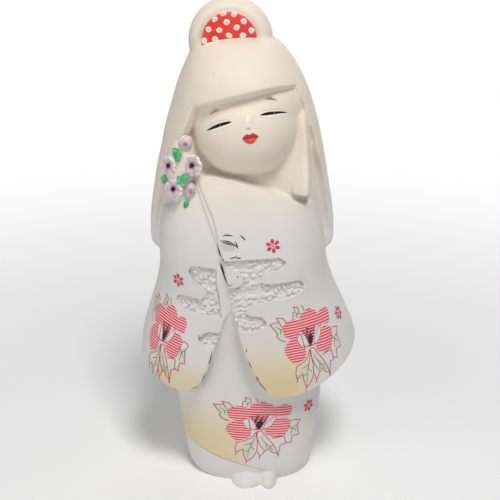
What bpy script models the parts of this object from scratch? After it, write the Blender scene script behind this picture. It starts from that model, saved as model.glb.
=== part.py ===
"""A moulded clay doll: a girl in a long-sleeved kimono, with long hair, a bun and hair flowers.

The doll is one hollow cast piece with a vent hole in its base. It is modelled the way a doll maker
builds the master for its mould: separate masses are shaped, pressed together into one body, smoothed,
carved, and then hollowed out. All sizes are in millimetres. The front faces -Y and +Z is up.
"""

import math

import bmesh
import bpy
import numpy as np
from mathutils import Matrix, Vector

MM = 0.001

# Height of the whole doll
DOLL_HEIGHT = 280.9

# Heights above the floor
HEM_ROUNDING = 4.0
SLEEVE_HEM_Z = 61.5
SLEEVE_FULL_Z = 80.0
HAIR_HEM_Z = 140.0
COLLAR_Z = 191.0
FACE_Z = 216.0
CROWN_Z = 264.0
BUN_Z = 258.4

# Skirt and body under the sleeves
HEM_WIDTH = 73.0
HEM_DEPTH = 62.0
SKIRT_WIDTH = 85.0
SKIRT_DEPTH = 68.0
BODY_WIDTH = 88.0
BODY_DEPTH = 70.0

# Kimono over the body, with its long sleeves
SLEEVE_SPAN = 127.5
CHEST_WIDTH = 95.0
SHOULDER_WIDTH = 86.0
KIMONO_FRONT = 41.5
KIMONO_BACK = 37.0
SLEEVE_FRONT = 42.0
OVERLAP_STEP = 3.0

# Hair
HAIR_WIDTH = 104.0
HEAD_WIDTH = 84.0
FRINGE_FRONT = 42.0
HAIR_BACK = 42.0
FRINGE_BEVEL = 3.4

# Face
FACE_X = -2.8
FACE_WIDTH = 60.0
FACE_HEIGHT = 58.0
FACE_DEPTH = 33.0
HEAD_TILT = math.radians(12.0)

# Lock of hair beside the cheek
LOCK_SLOPE = 0.35
LOCK_RIDGE_X = 31.0

# Bun with its dotted pad
BUN_X = -10.3
BUN_Y = 2.0
BUN_RADIUS = 22.6
BUN_DEPTH = 27.0
PAD_RADIUS = 15.0
PAD_RECESS = 2.2
PAD_GROOVE = 2.6

# Foot under the hem
FOOT_WIDTH = 27.5
FOOT_LENGTH = 24.0
FOOT_HEIGHT = 8.0

# Hair flowers
PETAL_LENGTH = 5.2
FLOWER_THICKNESS = 3.0

# Carved clouds
CLOUD_DEPTH = 1.6

# Hollow
WALL = 7.0
VENT_RADIUS = 9.0

# Fineness of the surface
VOXEL = 0.8
FACE_COUNT = 9200

CENTRE_X = -4.0


# Shapes


def new_object(name, bm):
    mesh = bpy.data.meshes.new(name)
    bm.to_mesh(mesh)
    bm.free()
    obj = bpy.data.objects.new(name, mesh)
    bpy.context.scene.collection.objects.link(obj)
    return obj


def smooth_stations(stations, count):
    """Reads count rings, evenly spread in height, from a smooth curve through the given stations."""
    table = np.array(stations, float)
    heights = table[:, 0]
    slopes = np.gradient(table, heights, axis=0)
    levels = np.unique(np.concatenate([np.linspace(heights[0], heights[-1], count), heights]))
    rings = []
    for z in levels:
        i = min(int(np.searchsorted(heights, z, side="right")) - 1, len(heights) - 2)
        span = heights[i + 1] - heights[i]
        t = (z - heights[i]) / span
        rings.append(
            (2 * t**3 - 3 * t**2 + 1) * table[i]
            + (t**3 - 2 * t**2 + t) * span * slopes[i]
            + (3 * t**2 - 2 * t**3) * table[i + 1]
            + (t**3 - t**2) * span * slopes[i + 1]
        )
    return rings


def loft(name, stations, count=40, around=72):
    """A skin over level rings. Each station is height, centre x, half width, front, back and squareness."""
    bm = bmesh.new()
    rows = []
    for z, centre_x, half_width, front, back, power in smooth_stations(stations, count):
        row = []
        for k in range(around):
            angle = 2 * math.pi * k / around
            c, s = math.cos(angle), math.sin(angle)
            x = centre_x + half_width * math.copysign(abs(c) ** (2 / power), c)
            y = (back if s > 0 else front) * math.copysign(abs(s) ** (2 / power), s)
            row.append(bm.verts.new((x, y, z)))
        rows.append(row)
    for low, high in zip(rows, rows[1:]):
        for k in range(around):
            nxt = (k + 1) % around
            bm.faces.new((low[k], low[nxt], high[nxt], high[k]))
    bm.faces.new(rows[0][::-1])
    bm.faces.new(rows[-1])
    return new_object(name, bm)


def ellipsoid(name, centre, half_sizes, turn=None, segments=48, flatness=2.0):
    """A ball of three half sizes. A flatness above 2 gives it a flatter front and a fuller rim."""
    bm = bmesh.new()
    bmesh.ops.create_uvsphere(bm, u_segments=segments, v_segments=segments // 2, radius=1)
    for vertex in bm.verts:
        reach = math.hypot(vertex.co.x, vertex.co.z)
        fuller = reach ** (2 / flatness - 1) if reach > 1e-6 else 1
        vertex.co.x *= fuller
        vertex.co.z *= fuller
        vertex.co.y = math.copysign(abs(vertex.co.y) ** (2 / flatness), vertex.co.y)
    place = Matrix.Translation(centre) @ (turn or Matrix.Identity(4)) @ Matrix.Diagonal((*half_sizes, 1))
    bm.transform(place)
    return new_object(name, bm)


def prism(name, outline, front, back, corner=2.5):
    """A front-view outline carried straight through from front to back."""
    bm = bmesh.new()
    near = [bm.verts.new((x, front, z)) for x, z in rounded(outline, corner)]
    far = [bm.verts.new((x, back, z)) for x, z in rounded(outline, corner)]
    for k in range(len(near)):
        nxt = (k + 1) % len(near)
        bm.faces.new((near[k], near[nxt], far[nxt], far[k]))
    bm.faces.new(near[::-1])
    bm.faces.new(far)
    bmesh.ops.recalc_face_normals(bm, faces=bm.faces)
    return new_object(name, bm)


def inset(outline, distance):
    """Moves each edge of an outline inwards by distance and returns the new corners."""
    points = [Vector(p) for p in outline]
    area = sum(a.x * b.y - b.x * a.y for a, b in zip(points, points[1:] + points[:1]))
    side = math.copysign(1, area)
    moved = []
    for before, here, after in zip(points[-1:] + points[:-1], points, points[1:] + points[:1]):
        first = (here - before).normalized()
        second = (after - here).normalized()
        normal = Vector((-first.y - second.y, first.x + second.x)) * side
        scale = distance / max(0.3, 0.5 * normal.length**2)
        moved.append(here + normal * scale)
    return moved


def rounded(outline, radius, steps=2):
    """Replaces each corner of an outline by an arc-like curve that starts radius away from it."""
    points = [Vector(p) for p in outline]
    soft = []
    for before, here, after in zip(points[-1:] + points[:-1], points, points[1:] + points[:1]):
        start = here + (before - here).normalized() * min(radius, (before - here).length * 0.49)
        end = here + (after - here).normalized() * min(radius, (after - here).length * 0.49)
        for k in range(steps + 1):
            t = k / steps
            soft.append(start.lerp(here, t).lerp(here.lerp(end, t), t))
    return soft


def keep(obj):
    """Replaces an object's mesh by what its modifiers make of it."""
    graph = bpy.context.evaluated_depsgraph_get()
    mesh = bpy.data.meshes.new_from_object(obj.evaluated_get(graph))
    obj.modifiers.clear()
    obj.data = mesh
    return obj


def combine(obj, other, operation):
    modifier = obj.modifiers.new(operation.lower(), "BOOLEAN")
    modifier.operation = operation
    modifier.object = other
    keep(obj)
    bpy.data.objects.remove(other)
    return obj


# Masses of the figure


def body():
    """Skirt and torso as they lie under the sleeves: the valley between the sleeves shows it."""
    hem, skirt, torso = HEM_WIDTH / 2, SKIRT_WIDTH / 2, BODY_WIDTH / 2
    hem_d, skirt_d, torso_d = HEM_DEPTH / 2, SKIRT_DEPTH / 2, BODY_DEPTH / 2
    chest_d = KIMONO_FRONT - 3
    return loft(
        "body",
        [
            (-3, 0.4, hem - 2.2, hem_d - 2.5, hem_d - 2.5, 2.5),
            (0, 0.4, hem - 1, hem_d - 1.5, hem_d - 1.5, 2.5),
            (HEM_ROUNDING, 0.2, hem + 0.8, hem_d, hem_d + 0.5, 2.5),
            (16, 0, hem + 2.7, hem_d + 1.5, hem_d + 1.5, 2.5),
            (35, -0.3, skirt - 0.7, skirt_d - 1.5, skirt_d - 0.5, 2.5),
            (SLEEVE_HEM_Z, -0.8, skirt + 1, skirt_d - 1, skirt_d, 2.4),
            (95, -2, torso, torso_d, KIMONO_BACK - 1, 2.3),
            (125, CENTRE_X, torso + 1, chest_d, KIMONO_BACK, 2.4),
            (150, CENTRE_X, torso - 1, chest_d - 1, KIMONO_BACK, 2.4),
            (172, CENTRE_X, 36, 33, 30, 2.2),
            (186, CENTRE_X, 26, 26, 24, 2.1),
        ],
    )


def kimono_hull(name, front_change):
    """The outer skin of the sleeves and shoulders. front_change sets it back or forward."""
    sleeve, chest, shoulder = SLEEVE_SPAN / 2, CHEST_WIDTH / 2, SHOULDER_WIDTH / 2
    back = KIMONO_BACK
    f = front_change
    return loft(
        name,
        [
            (SLEEVE_HEM_Z - 6, -1, sleeve - 1.5, SLEEVE_FRONT - 2.5 + f, back + 1, 2.5),
            (SLEEVE_FULL_Z, -0.3, sleeve, SLEEVE_FRONT + f, back + 3, 2.4),
            (92, -1, sleeve - 2.7, SLEEVE_FRONT + f, back + 3, 2.35),
            (105, -1.8, sleeve - 7.4, SLEEVE_FRONT + f, back + 2, 2.3),
            (118, -2.7, sleeve - 12.2, KIMONO_FRONT + f, back + 1, 2.3),
            (130, -3.6, chest + 0.8, KIMONO_FRONT + f, back, 2.5),
            (150, CENTRE_X - 0.7, chest - 1, KIMONO_FRONT - 0.5 + f, back - 1, 2.8),
            (165, CENTRE_X - 1.7, shoulder + 0.7, KIMONO_FRONT - 2.5 + f, back - 3, 2.8),
            (178, CENTRE_X - 2, shoulder - 3, KIMONO_FRONT - 5 + f, back - 6, 2.5),
            (COLLAR_Z + 2, CENTRE_X - 2.5, shoulder - 10, KIMONO_FRONT - 9 + f, back - 12, 2.2),
        ],
    )


def outer_hem():
    """The lower edge of the outer sleeve, from the front round to the doll's side."""
    edge = SLEEVE_SPAN / 2 + 8
    hem = SLEEVE_HEM_Z
    line = [(27, hem + 0.7), (37, hem + 4), (48.7, hem + 11.5), (57.8, hem + 19)]
    return line + [(62.5, hem + 25), (edge, hem + 34)]


def inner_hem():
    """The lower edge of the inner sleeve, from the front round to the doll's side."""
    edge = SLEEVE_SPAN / 2 + 8
    hem = SLEEVE_HEM_Z
    line = [(-38, hem + 0.8), (-45, hem + 1.4), (-52, hem + 3.6), (-58, hem + 7.4)]
    return line + [(-62.5, hem + 13), (-edge, hem + 19)]


def outer_sleeve():
    """The doll's left sleeve, to the right in a front view, which laps over the other."""
    edge = SLEEVE_SPAN / 2 + 8
    hem = SLEEVE_HEM_Z
    outline = [
        (-29, COLLAR_Z),
        (-19.5, 170),
        (-14.5, 146),
        (-9.6, 118.6),
        (-6.5, 104),
        (-2.8, 90),
        (3.7, 74.6),
        (9.5, hem + 3),
        (16, hem),
        *outer_hem(),
        (edge, 150),
        (37.5, 166),
        (34, 173.5),
        (28, 174.5),
        (21, 177.5),
        (8, 184.5),
        (-6, COLLAR_Z - 1),
        (-18, COLLAR_Z + 1),
    ]
    cut = prism("outer_sleeve_cut", outline, -70, 6)
    return combine(kimono_hull("outer_sleeve", 0), cut, "INTERSECT")


def inner_sleeve():
    """The doll's right sleeve, set back where the other laps over it."""
    edge = SLEEVE_SPAN / 2 + 8
    hem = SLEEVE_HEM_Z
    outline = [
        (-2, 178),
        (0, 130),
        (-13.5, 112),
        (-17.5, 100),
        (-22.6, 82.6),
        (-27.5, 69.7),
        (-32, hem + 1.5),
        *inner_hem(),
        (-edge, 150),
        (-50, 163),
        (-48.5, 168),
        (-38, 175.5),
        (-29, 187),
        (-20, 188),
    ]
    cut = prism("inner_sleeve_cut", outline, -70, 6)
    return combine(kimono_hull("inner_sleeve", -OVERLAP_STEP), cut, "INTERSECT")


def collar_band():
    """The edge of the collar, seen as a narrow strip along the lap of the outer sleeve's side."""
    outline = [(-31, 189), (-27.5, 182.6), (-23.2, 171), (-18, 156.5), (-16, 149)]
    outline += [(-10, 149), (-12, 165), (-20, 188)]
    cut = prism("collar_band_cut", outline, -70, 6, 1)
    return combine(kimono_hull("collar_band", -OVERLAP_STEP * 0.5), cut, "INTERSECT")


def back_sleeves():
    """Both sleeves seen from behind, where they hang at the sides of the back."""
    made = []
    for side, hem in ((1, outer_hem()), (-1, inner_hem())):
        edge = SLEEVE_SPAN / 2 + 8
        inner_edge = [(side * 30, 150), (side * 32, 100), (side * 34, SLEEVE_HEM_Z + 6)]
        cut = prism("back_sleeve_cut", inner_edge + hem[1:] + [(side * edge, 150)], -2, 70)
        made.append(combine(kimono_hull("back_sleeve", 0), cut, "INTERSECT"))
    return made


def kimono_back():
    """The shoulders and the back of the kimono between the sleeves."""
    outline = [(-46, 120), (40, 120), (36, 166), (20, 180), (-28, 180), (-48, 165)]
    cut = prism("kimono_back_cut", outline, -20, 70)
    return combine(kimono_hull("kimono_back", -2), cut, "INTERSECT")


def hair_shell(name, shrink, count):
    """The bell that the hair makes over the head and down the back, or a smaller copy inside it."""
    wide, head = HAIR_WIDTH / 2 - shrink, HEAD_WIDTH / 2 - shrink
    front, back = FRINGE_FRONT - shrink, HAIR_BACK - shrink
    x = CENTRE_X - 0.5
    return loft(
        name,
        [
            (HAIR_HEM_Z - 1.5, x, wide - 4.5, 9, back - 5, 2.2),
            (HAIR_HEM_Z + 1.5, x, wide - 1.5, 12, back - 2, 2.2),
            (HAIR_HEM_Z + 5, x, wide - 0.2, 14, back - 0.5, 2.2),
            (152, x, wide, 16, back + 0.5, 2.2),
            (165.5, x - 0.1, wide - 1, 20, back + 0.5, 2.2),
            (177.6, x - 0.1, wide - 3, 28, back, 2.2),
            (189.5, x - 0.1, wide - 5, 35 - shrink, back - 0.5, 2.2),
            (201, x + 0.2, head + 2.6, front - 2.5, back - 1, 2.2),
            (213, x + 0.2, head, front - 0.5, back - 1.5, 2.2),
            (224, x + 0.3, head - 3.2, front + 0.3, back - 2.5, 2.2),
            (235, x, head - 6.8, front, back - 5, 2.15),
            (246, x - 0.6, head - 11.8, front - 4, back - 10, 2.1),
            (252, x - 1.2, head - 15.4, front - 10, back - 14, 2.1),
            (257, x - 1.4, head - 19.7, front - 18, back - 19, 2.2),
            (CROWN_Z - 3, x - 0.8, head - 26, front - 27, back - 26, 2.3),
            (CROWN_Z, x, 8, 6, 7, 2.2),
        ],
        count=count,
    )


def hair():
    """The hair frames the face with a bevelled edge and hangs open in front of the shoulders."""
    shell = hair_shell("hair", 0, 70)
    rim = [(-29.2, 231.6), (-11.8, 237.6), (2.8, 241.1), (14.7, 241.9), (24.1, 239.7), (29, 229.6), (32.2, 220.2)]
    rim += [(35.3, 210), (37, 201), (39.1, 193), (41.3, 182), (43.5, 171), (45.3, 161), (46.2, 152), (46.5, 130)]
    rim += [(-55.3, 130), (-54.1, 157.5), (-51.8, 171), (-48.7, 184.4), (-44.1, 198), (-38.6, 211), (-35.2, 216.7)]
    for step in (1, 2, 3):
        tool = prism("bevel_step", inset(rim, FRINGE_BEVEL * 0.5 * (step - 1)), -60, -4, 0.5)
        combine(tool, hair_shell("bevel_floor", FRINGE_BEVEL * 0.45 * step, 30), "DIFFERENCE")
        combine(shell, tool, "DIFFERENCE")
    window = [(-24, 226), (14, 235), (22, 233), (28, 223.7), (30, 211), (32, 195.8), (33, 150), (-40, 150)]
    window += [(-40, 196), (-34, 209)]
    return combine(shell, prism("face_opening", window, -60, -22, 1.2), "DIFFERENCE")


def face():
    """The face is a soft ball under a broad forehead, with a small nose and lips."""
    tilt = Matrix.Rotation(-HEAD_TILT, 4, "Y")
    ball = ellipsoid("face", (FACE_X, -9.5, FACE_Z), (FACE_WIDTH / 2, FACE_DEPTH, FACE_HEIGHT / 2), tilt)
    brow = (FACE_WIDTH / 2 + 3, FACE_DEPTH - 3, FACE_HEIGHT / 2 - 5)
    forehead = ellipsoid("forehead", (FACE_X - 0.7, -6.5, FACE_Z + 9), brow, tilt)
    nose = ellipsoid("nose", (FACE_X + 1.9, -38.5, FACE_Z + 9), (2.7, 3.2, 4.6), tilt, 24)
    lips = ellipsoid("lips", (FACE_X + 3, -41, FACE_Z + 0.4), (3.6, 2, 2.4), tilt, 24)
    return [ball, forehead, nose, lips]


def neck():
    return ellipsoid("neck", (CENTRE_X + 2, -6, 186), (25, 20, 24))


def side_lock():
    """The lock of hair beside the cheek, cut off blunt on the shoulder, with its ridge on the outside."""
    lock = loft(
        "side_lock",
        [
            (180, 26.4, 6.9, 30.4, 5, 3.8),
            (184, 26.4, 7, 30, 5, 3.8),
            (190, 26.6, 6.9, 28.7, 5, 3.6),
            (200, 27, 6.2, 26.2, 5, 3),
            (211, 27.6, 4.9, 24.7, 5, 2.6),
            (222, 28, 3.2, 22.6, 5, 2.2),
            (231, 27.6, 1.8, 18.5, 5, 2.2),
        ],
        count=14,
        around=40,
    )
    for vertex in lock.data.vertices:
        vertex.co.y -= LOCK_SLOPE * (vertex.co.x - LOCK_RIDGE_X)
    return lock


def bun():
    """A thick ring of hair with a domed half-round pad of tied cloth in its face."""
    tilt = Matrix.Rotation(-HEAD_TILT * 0.85, 4, "Y")
    front = BUN_DEPTH / 2
    ring = ellipsoid("bun", (BUN_X, BUN_Y, BUN_Z), (BUN_RADIUS, front, BUN_RADIUS), tilt, 48, 2.8)
    face_y = BUN_Y - front
    pad_x, pad_z = BUN_X - 0.5, BUN_Z + 2.6
    reach = PAD_RADIUS + PAD_GROOVE
    recess = ellipsoid("bun_recess", (pad_x, face_y, pad_z), (reach, PAD_RECESS + 0.5, reach), tilt, 40, 3.5)
    combine(ring, recess, "DIFFERENCE")
    sizes = (PAD_RADIUS, PAD_RECESS + 0.8, PAD_RADIUS)
    return [ring, ellipsoid("bun_pad", (pad_x, face_y + PAD_RECESS, pad_z), sizes, tilt, 40, 2.6)]


def foot():
    """A foot in a split-toed sock that looks out from under the hem."""
    tip = -HEM_DEPTH / 2 - 8.8
    long = FOOT_LENGTH
    splay = Matrix.Rotation(math.radians(-22), 4, "Z")
    big_toe = ellipsoid("big_toe", (10.9, tip + 9.5, 1.2), (4.9, 9.5, FOOT_HEIGHT - 2.4), None, 24)
    toes = ellipsoid("toes", (-1, tip + 12, 0.8), (FOOT_WIDTH * 0.36, 11.5, FOOT_HEIGHT - 2), splay, 28)
    instep = ellipsoid("instep", (1.8, tip + long, 1), (FOOT_WIDTH / 2 - 0.4, long - 6, FOOT_HEIGHT), None, 28)
    return [big_toe, toes, instep]


def flowers():
    """Three open flowers, two buds and four leaves, on a swell of the hair at the doll's right."""
    swell = Matrix.Rotation(math.radians(-50), 4, "Z") @ Matrix.Rotation(math.radians(12), 4, "Y")
    made = [ellipsoid("flower_bed", (-37.5, -21, 193), (9, 8, 20), swell, 32)]
    near = Matrix.Rotation(math.radians(-24), 4, "Z")
    far = Matrix.Rotation(math.radians(-46), 4, "Z")
    blooms = [
        (near, (-31.2, -29.2, 198), 1.0),
        (far, (-43.4, -25.8, 196.8), 1.0),
        (near, (-41.2, -26.8, 183.4), 0.92),
    ]
    for turn, place, size in blooms:
        made.append(ellipsoid("flower_heart", place, (2.6 * size, FLOWER_THICKNESS * 0.7, 2.6 * size), turn, 14))
        for k in range(5):
            angle = 2 * math.pi * k / 5 + math.pi / 2
            out = Vector((math.cos(angle), 0, math.sin(angle))) * PETAL_LENGTH * 0.58 * size
            petal = turn @ Matrix.Rotation(-angle, 4, "Y")
            sizes = (PETAL_LENGTH * 0.55 * size, FLOWER_THICKNESS, PETAL_LENGTH * 0.46 * size)
            made.append(ellipsoid("petal", Vector(place) + turn @ out, sizes, petal, 14))
    for turn, place, sizes in [
        (near, (-34, -27.8, 210.2), (3.9, 3.4, 3.9)),
        (near, (-31.7, -27.4, 183.5), (2.9, 3, 4.4)),
    ]:
        made.append(ellipsoid("bud", place, sizes, turn, 18))
    for turn, place, sizes in [
        (far, (-39.4, -28.4, 203.5), (2.6, 2.4, 2.9)),
        (near, (-35.6, -29.2, 190), (3.2, 2.8, 2.8)),
        (far, (-46.8, -14.6, 184.6), (2.4, 3, 3.2)),
        (near, (-34.4, -28.4, 176), (1.7, 2, 2.3)),
    ]:
        made.append(ellipsoid("leaf", place, sizes, turn, 14))
    return made


# Carving


def cloud_outlines():
    """Banks of mist: round-ended bars that a stem joins, cut off by the edge of each sleeve."""
    upper_outer = [(-16, 147.2), (-9.7, 147.8), (5, 148.6), (16.2, 149), (19.4, 146.8), (19.5, 144), (16.8, 141.3)]
    upper_outer += [(9.8, 140.7), (6.5, 138), (6.2, 134.6), (9, 133.9), (27.2, 134), (29.6, 131.4), (29.2, 127)]
    upper_outer += [(25.7, 124.6), (9.9, 122.7), (2.2, 121.5), (-1.4, 118.8), (-2.4, 116.2), (1.4, 114.8)]
    upper_outer += [(6.4, 114.2), (9.4, 111), (8, 107.2), (3.6, 105), (-6.5, 104.9), (-9.8, 118), (-12.4, 131.4)]
    upper_outer += [(-8, 131.6), (-4.2, 134.2), (-3.6, 138), (-6.5, 141.3), (-14.5, 143)]
    upper_inner = [(-18, 141.4), (-20.7, 141.8), (-28.8, 142.4), (-32.1, 141.8), (-34, 139.2), (-33.3, 135.8)]
    upper_inner += [(-29.8, 132.4), (-24.6, 130), (-24, 127), (-27, 124), (-37.5, 125.4), (-40.8, 124.4)]
    upper_inner += [(-41, 121), (-36.5, 117), (-27.7, 115.2), (-15.5, 114.5), (-17, 127), (-18.4, 133.5)]
    lower_inner = [(-28.6, 97.4), (-26.8, 101), (-23.4, 102.9), (-16.4, 102.9), (-17.3, 99), (-19.4, 94.2)]
    lower_inner += [(-23.6, 93.4), (-27.3, 95)]
    return [upper_outer, upper_inner, lower_inner]


def carve_clouds(obj):
    """Sinks each cloud to an even depth below the curved front of the sleeve it lies on."""
    for number, outline in enumerate(cloud_outlines()):
        level = 0 if number == 0 else -OVERLAP_STEP
        tool = prism("cloud", outline, -70, -20, 1.2)
        combine(tool, kimono_hull("cloud_floor", level - CLOUD_DEPTH), "DIFFERENCE")
        combine(obj, tool, "DIFFERENCE")


# Whole doll


def press_together(masses):
    """Makes one closed skin around all masses, then softens its creases as worked clay is."""
    bm = bmesh.new()
    for mass in masses:
        bm.from_mesh(mass.data)
        bpy.data.objects.remove(mass)
    doll = new_object("doll", bm)
    skin = doll.modifiers.new("skin", "REMESH")
    skin.mode = "VOXEL"
    skin.voxel_size = VOXEL
    soften = doll.modifiers.new("soften", "SMOOTH")
    soften.factor = 0.5
    soften.iterations = 5
    return keep(doll)


def hollow_out(obj):
    """Levels the base on the floor, then opens the hollow that a cast doll has and its vent hole."""
    floor = prism("below_floor", [(-200, -60), (200, -60), (200, 0), (-200, 0)], -200, 200, 0)
    combine(obj, floor, "DIFFERENCE")
    hem, hem_d = HEM_WIDTH / 2 - WALL, HEM_DEPTH / 2 - WALL
    torso, torso_d = BODY_WIDTH / 2 - WALL, BODY_DEPTH / 2 - WALL
    head = HEAD_WIDTH / 2 - WALL
    hollow = loft(
        "hollow",
        [
            (WALL, 0, hem - 3, hem_d - 3, hem_d - 3, 2.3),
            (WALL + 8, 0, hem, hem_d, hem_d, 2.4),
            (SLEEVE_HEM_Z, -1, torso - 1, torso_d - 1, torso_d - 1, 2.3),
            (120, -3, torso, torso_d, torso_d, 2.2),
            (150, CENTRE_X, torso - 1, torso_d + 2, torso_d, 2.2),
            (168, CENTRE_X, torso - 8, torso_d - 1, torso_d, 2.1),
            (185, CENTRE_X, torso - 14, torso_d - 9, torso_d - 1, 2),
            (200, CENTRE_X, head - 8, FACE_DEPTH - 7, torso_d - 1, 2),
            (FACE_Z, CENTRE_X, head - 5, FACE_DEPTH - 1, torso_d - 1, 2),
            (234, CENTRE_X, head - 11, FACE_DEPTH - 8, torso_d - 5, 2),
            (246, CENTRE_X - 1, head - 20, FACE_DEPTH - 15, torso_d - 12, 2),
            (CROWN_Z - 13, CENTRE_X - 2, 4, 5, 5, 2),
        ],
        count=16,
        around=26,
    )
    combine(obj, hollow, "DIFFERENCE")
    vent = loft(
        "vent",
        [
            (-4, 0, VENT_RADIUS, VENT_RADIUS, VENT_RADIUS, 2),
            (WALL + 5, 0, VENT_RADIUS, VENT_RADIUS, VENT_RADIUS, 2),
        ],
        count=2,
        around=32,
    )
    combine(obj, vent, "DIFFERENCE")


def set_down(obj):
    """Brings the doll to its height and sets it on the floor over the origin, in metres."""
    corners = np.array([v.co for v in obj.data.vertices])
    low, high = corners.min(0), corners.max(0)
    middle = (low + high) / 2
    size = DOLL_HEIGHT / (high[2] - low[2])
    obj.data.transform(Matrix.Scale(MM * size, 4) @ Matrix.Translation((-middle[0], -middle[1], -low[2])))


def thin_out(obj):
    modifier = obj.modifiers.new("thin_out", "DECIMATE")
    modifier.ratio = min(1.0, FACE_COUNT / (2 * len(obj.data.polygons)))
    keep(obj)


def clear_scene():
    for obj in list(bpy.data.objects):
        bpy.data.objects.remove(obj)


def clay():
    material = bpy.data.materials.new("white_clay")
    material.use_nodes = True
    shader = material.node_tree.nodes["Principled BSDF"]
    shader.inputs["Base Color"].default_value = (0.78, 0.74, 0.68, 1)
    shader.inputs["Roughness"].default_value = 0.6
    shader.inputs["Metallic"].default_value = 0.0
    return material


def main():
    clear_scene()
    masses = [body(), outer_sleeve(), inner_sleeve(), collar_band(), *back_sleeves(), kimono_back()]
    masses += [hair(), *face(), neck(), side_lock(), *bun(), *foot(), *flowers()]
    doll = press_together(masses)
    thin_out(doll)
    carve_clouds(doll)
    hollow_out(doll)
    set_down(doll)
    doll.data.materials.append(clay())


main()
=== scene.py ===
"""The looks of a moulded clay doll: a girl in a long-sleeved kimono, with a bun and hair flowers.

The clay is worked up finely from the same masses as the solid: they are shaped, pressed together,
softened and carved. Then come the painted parts: face, bun pad, hair flowers, printed peonies and wear.
The figure is worked in millimetres, with the front towards -Y and +Z up, and set down in metres.
"""

import math

import bmesh
import bpy
import numpy as np
from bpy.props import FloatProperty, FloatVectorProperty, PointerProperty
from mathutils import Matrix, Vector, noise


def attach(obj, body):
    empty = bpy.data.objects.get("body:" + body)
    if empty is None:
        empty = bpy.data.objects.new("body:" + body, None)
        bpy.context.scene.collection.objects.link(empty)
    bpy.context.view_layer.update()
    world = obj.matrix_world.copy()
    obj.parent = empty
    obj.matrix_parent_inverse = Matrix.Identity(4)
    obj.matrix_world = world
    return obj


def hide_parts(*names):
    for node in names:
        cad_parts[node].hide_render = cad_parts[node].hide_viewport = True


bl_info = {
    "name": "Clay Doll",
    "version": (1, 0, 0),
    "blender": (4, 5, 0),
    "location": "3D View > Sidebar > Clay Doll",
    "description": "Models and paints a hollow clay doll over its packed solid",
    "category": "Object",
}

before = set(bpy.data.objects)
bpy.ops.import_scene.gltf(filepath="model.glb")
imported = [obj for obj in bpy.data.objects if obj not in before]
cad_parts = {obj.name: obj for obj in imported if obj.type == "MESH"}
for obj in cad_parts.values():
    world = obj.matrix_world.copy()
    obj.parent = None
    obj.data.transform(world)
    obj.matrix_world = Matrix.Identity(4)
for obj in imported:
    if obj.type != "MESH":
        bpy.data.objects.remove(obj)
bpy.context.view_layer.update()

MM = 0.001
# How far the figure's working place is from its place over the origin
SET_DOWN = Vector((1.234, 0.039, 0.0))

# Main heights and sizes of the figure, in millimetres
SLEEVE_HEM_Z = 61.5
SLEEVE_FULL_Z = 80.0
HAIR_HEM_Z = 140.0
COLLAR_Z = 191.0
FACE_Z = 216.0
CROWN_Z = 264.0
BUN_Z = 258.4
HEM_HALF = (36.5, 31.0)
SKIRT_HALF = (42.5, 34.0)
BODY_HALF = (44.0, 35.0)
SLEEVE_HALF = 63.75
CHEST_HALF = 47.5
SHOULDER_HALF = 43.0
KIMONO_FRONT = 41.5
KIMONO_BACK = 37.0
SLEEVE_FRONT = 42.0
OVERLAP_STEP = 3.0
HAIR_HALF = 52.0
HEAD_HALF = 42.0
FRINGE_FRONT = 42.0
HAIR_BACK = 42.0
FRINGE_BEVEL = 3.4
FACE_X = -2.8
FACE_HALF = (30.0, 33.0, 29.0)
HEAD_TILT = math.radians(12.0)
LOCK_SLOPE = 0.7
LOCK_RIDGE_X = 31.0
BUN_PLACE = (-10.3, 2.0)
BUN_RADIUS = 22.6
BUN_FRONT = 13.5
BUN_TURN = 0.85
PAD_RADIUS = 15.0
PAD_RECESS = 2.2
PAD_GROOVE = 2.6
PAD_FLATNESS = 2.6
CLOUD_DEPTH = 1.6
WALL = 7.0
VENT_RADIUS = 9.0
CENTRE_X = -4.0
# Places clear of the figure, beside it and before it
BESIDE = SLEEVE_HALF + 8
BEFORE = -70

# How finely the clay is worked
BEVEL_STEPS = 6
FACE_ROUNDS = 70
CLAY_TRIANGLES = 155000
CLOUD_ROW = 0.5
CLOUD_AROUND = 520
PEBBLE_SIZE = 2.3

# Camera, as it stood to the figure
CAMERA_AIM = Vector((0.0, 0.0, 136.7))
CAMERA_DISTANCE = 650.0
CAMERA_RISE = math.radians(23.0)
CAMERA_LENS = 81.29


def tint(red, green, blue):
    """A colour as a painter reads it, from 0 to 255, turned into the light that it sends back."""
    levels = [level / 255 for level in (red, green, blue)]
    return tuple(v / 12.92 if v <= 0.04045 else ((v + 0.055) / 1.055) ** 2.4 for v in levels)


# Settings that a user would change


def paint_setting(name, description, *shade):
    """A colour that a user can change, given as a painter reads it."""
    return FloatVectorProperty(name=name, description=description, subtype="COLOR", default=tint(*shade))


class ClaySettings(bpy.types.PropertyGroup):
    grain: FloatProperty(
        name="Clay grain",
        description="Fineness to which the clay surface is worked",
        default=0.62 * MM,
        min=0.3 * MM,
        unit="LENGTH",
    )
    hair_white: paint_setting("Hair", "Warm white of the hair and face", 232, 220, 203)
    kimono_white: paint_setting("Kimono", "Cooler white of the kimono", 219, 217, 214)
    wash: paint_setting("Gold wash", "Tan wash at the hems", 222, 196, 140)


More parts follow.
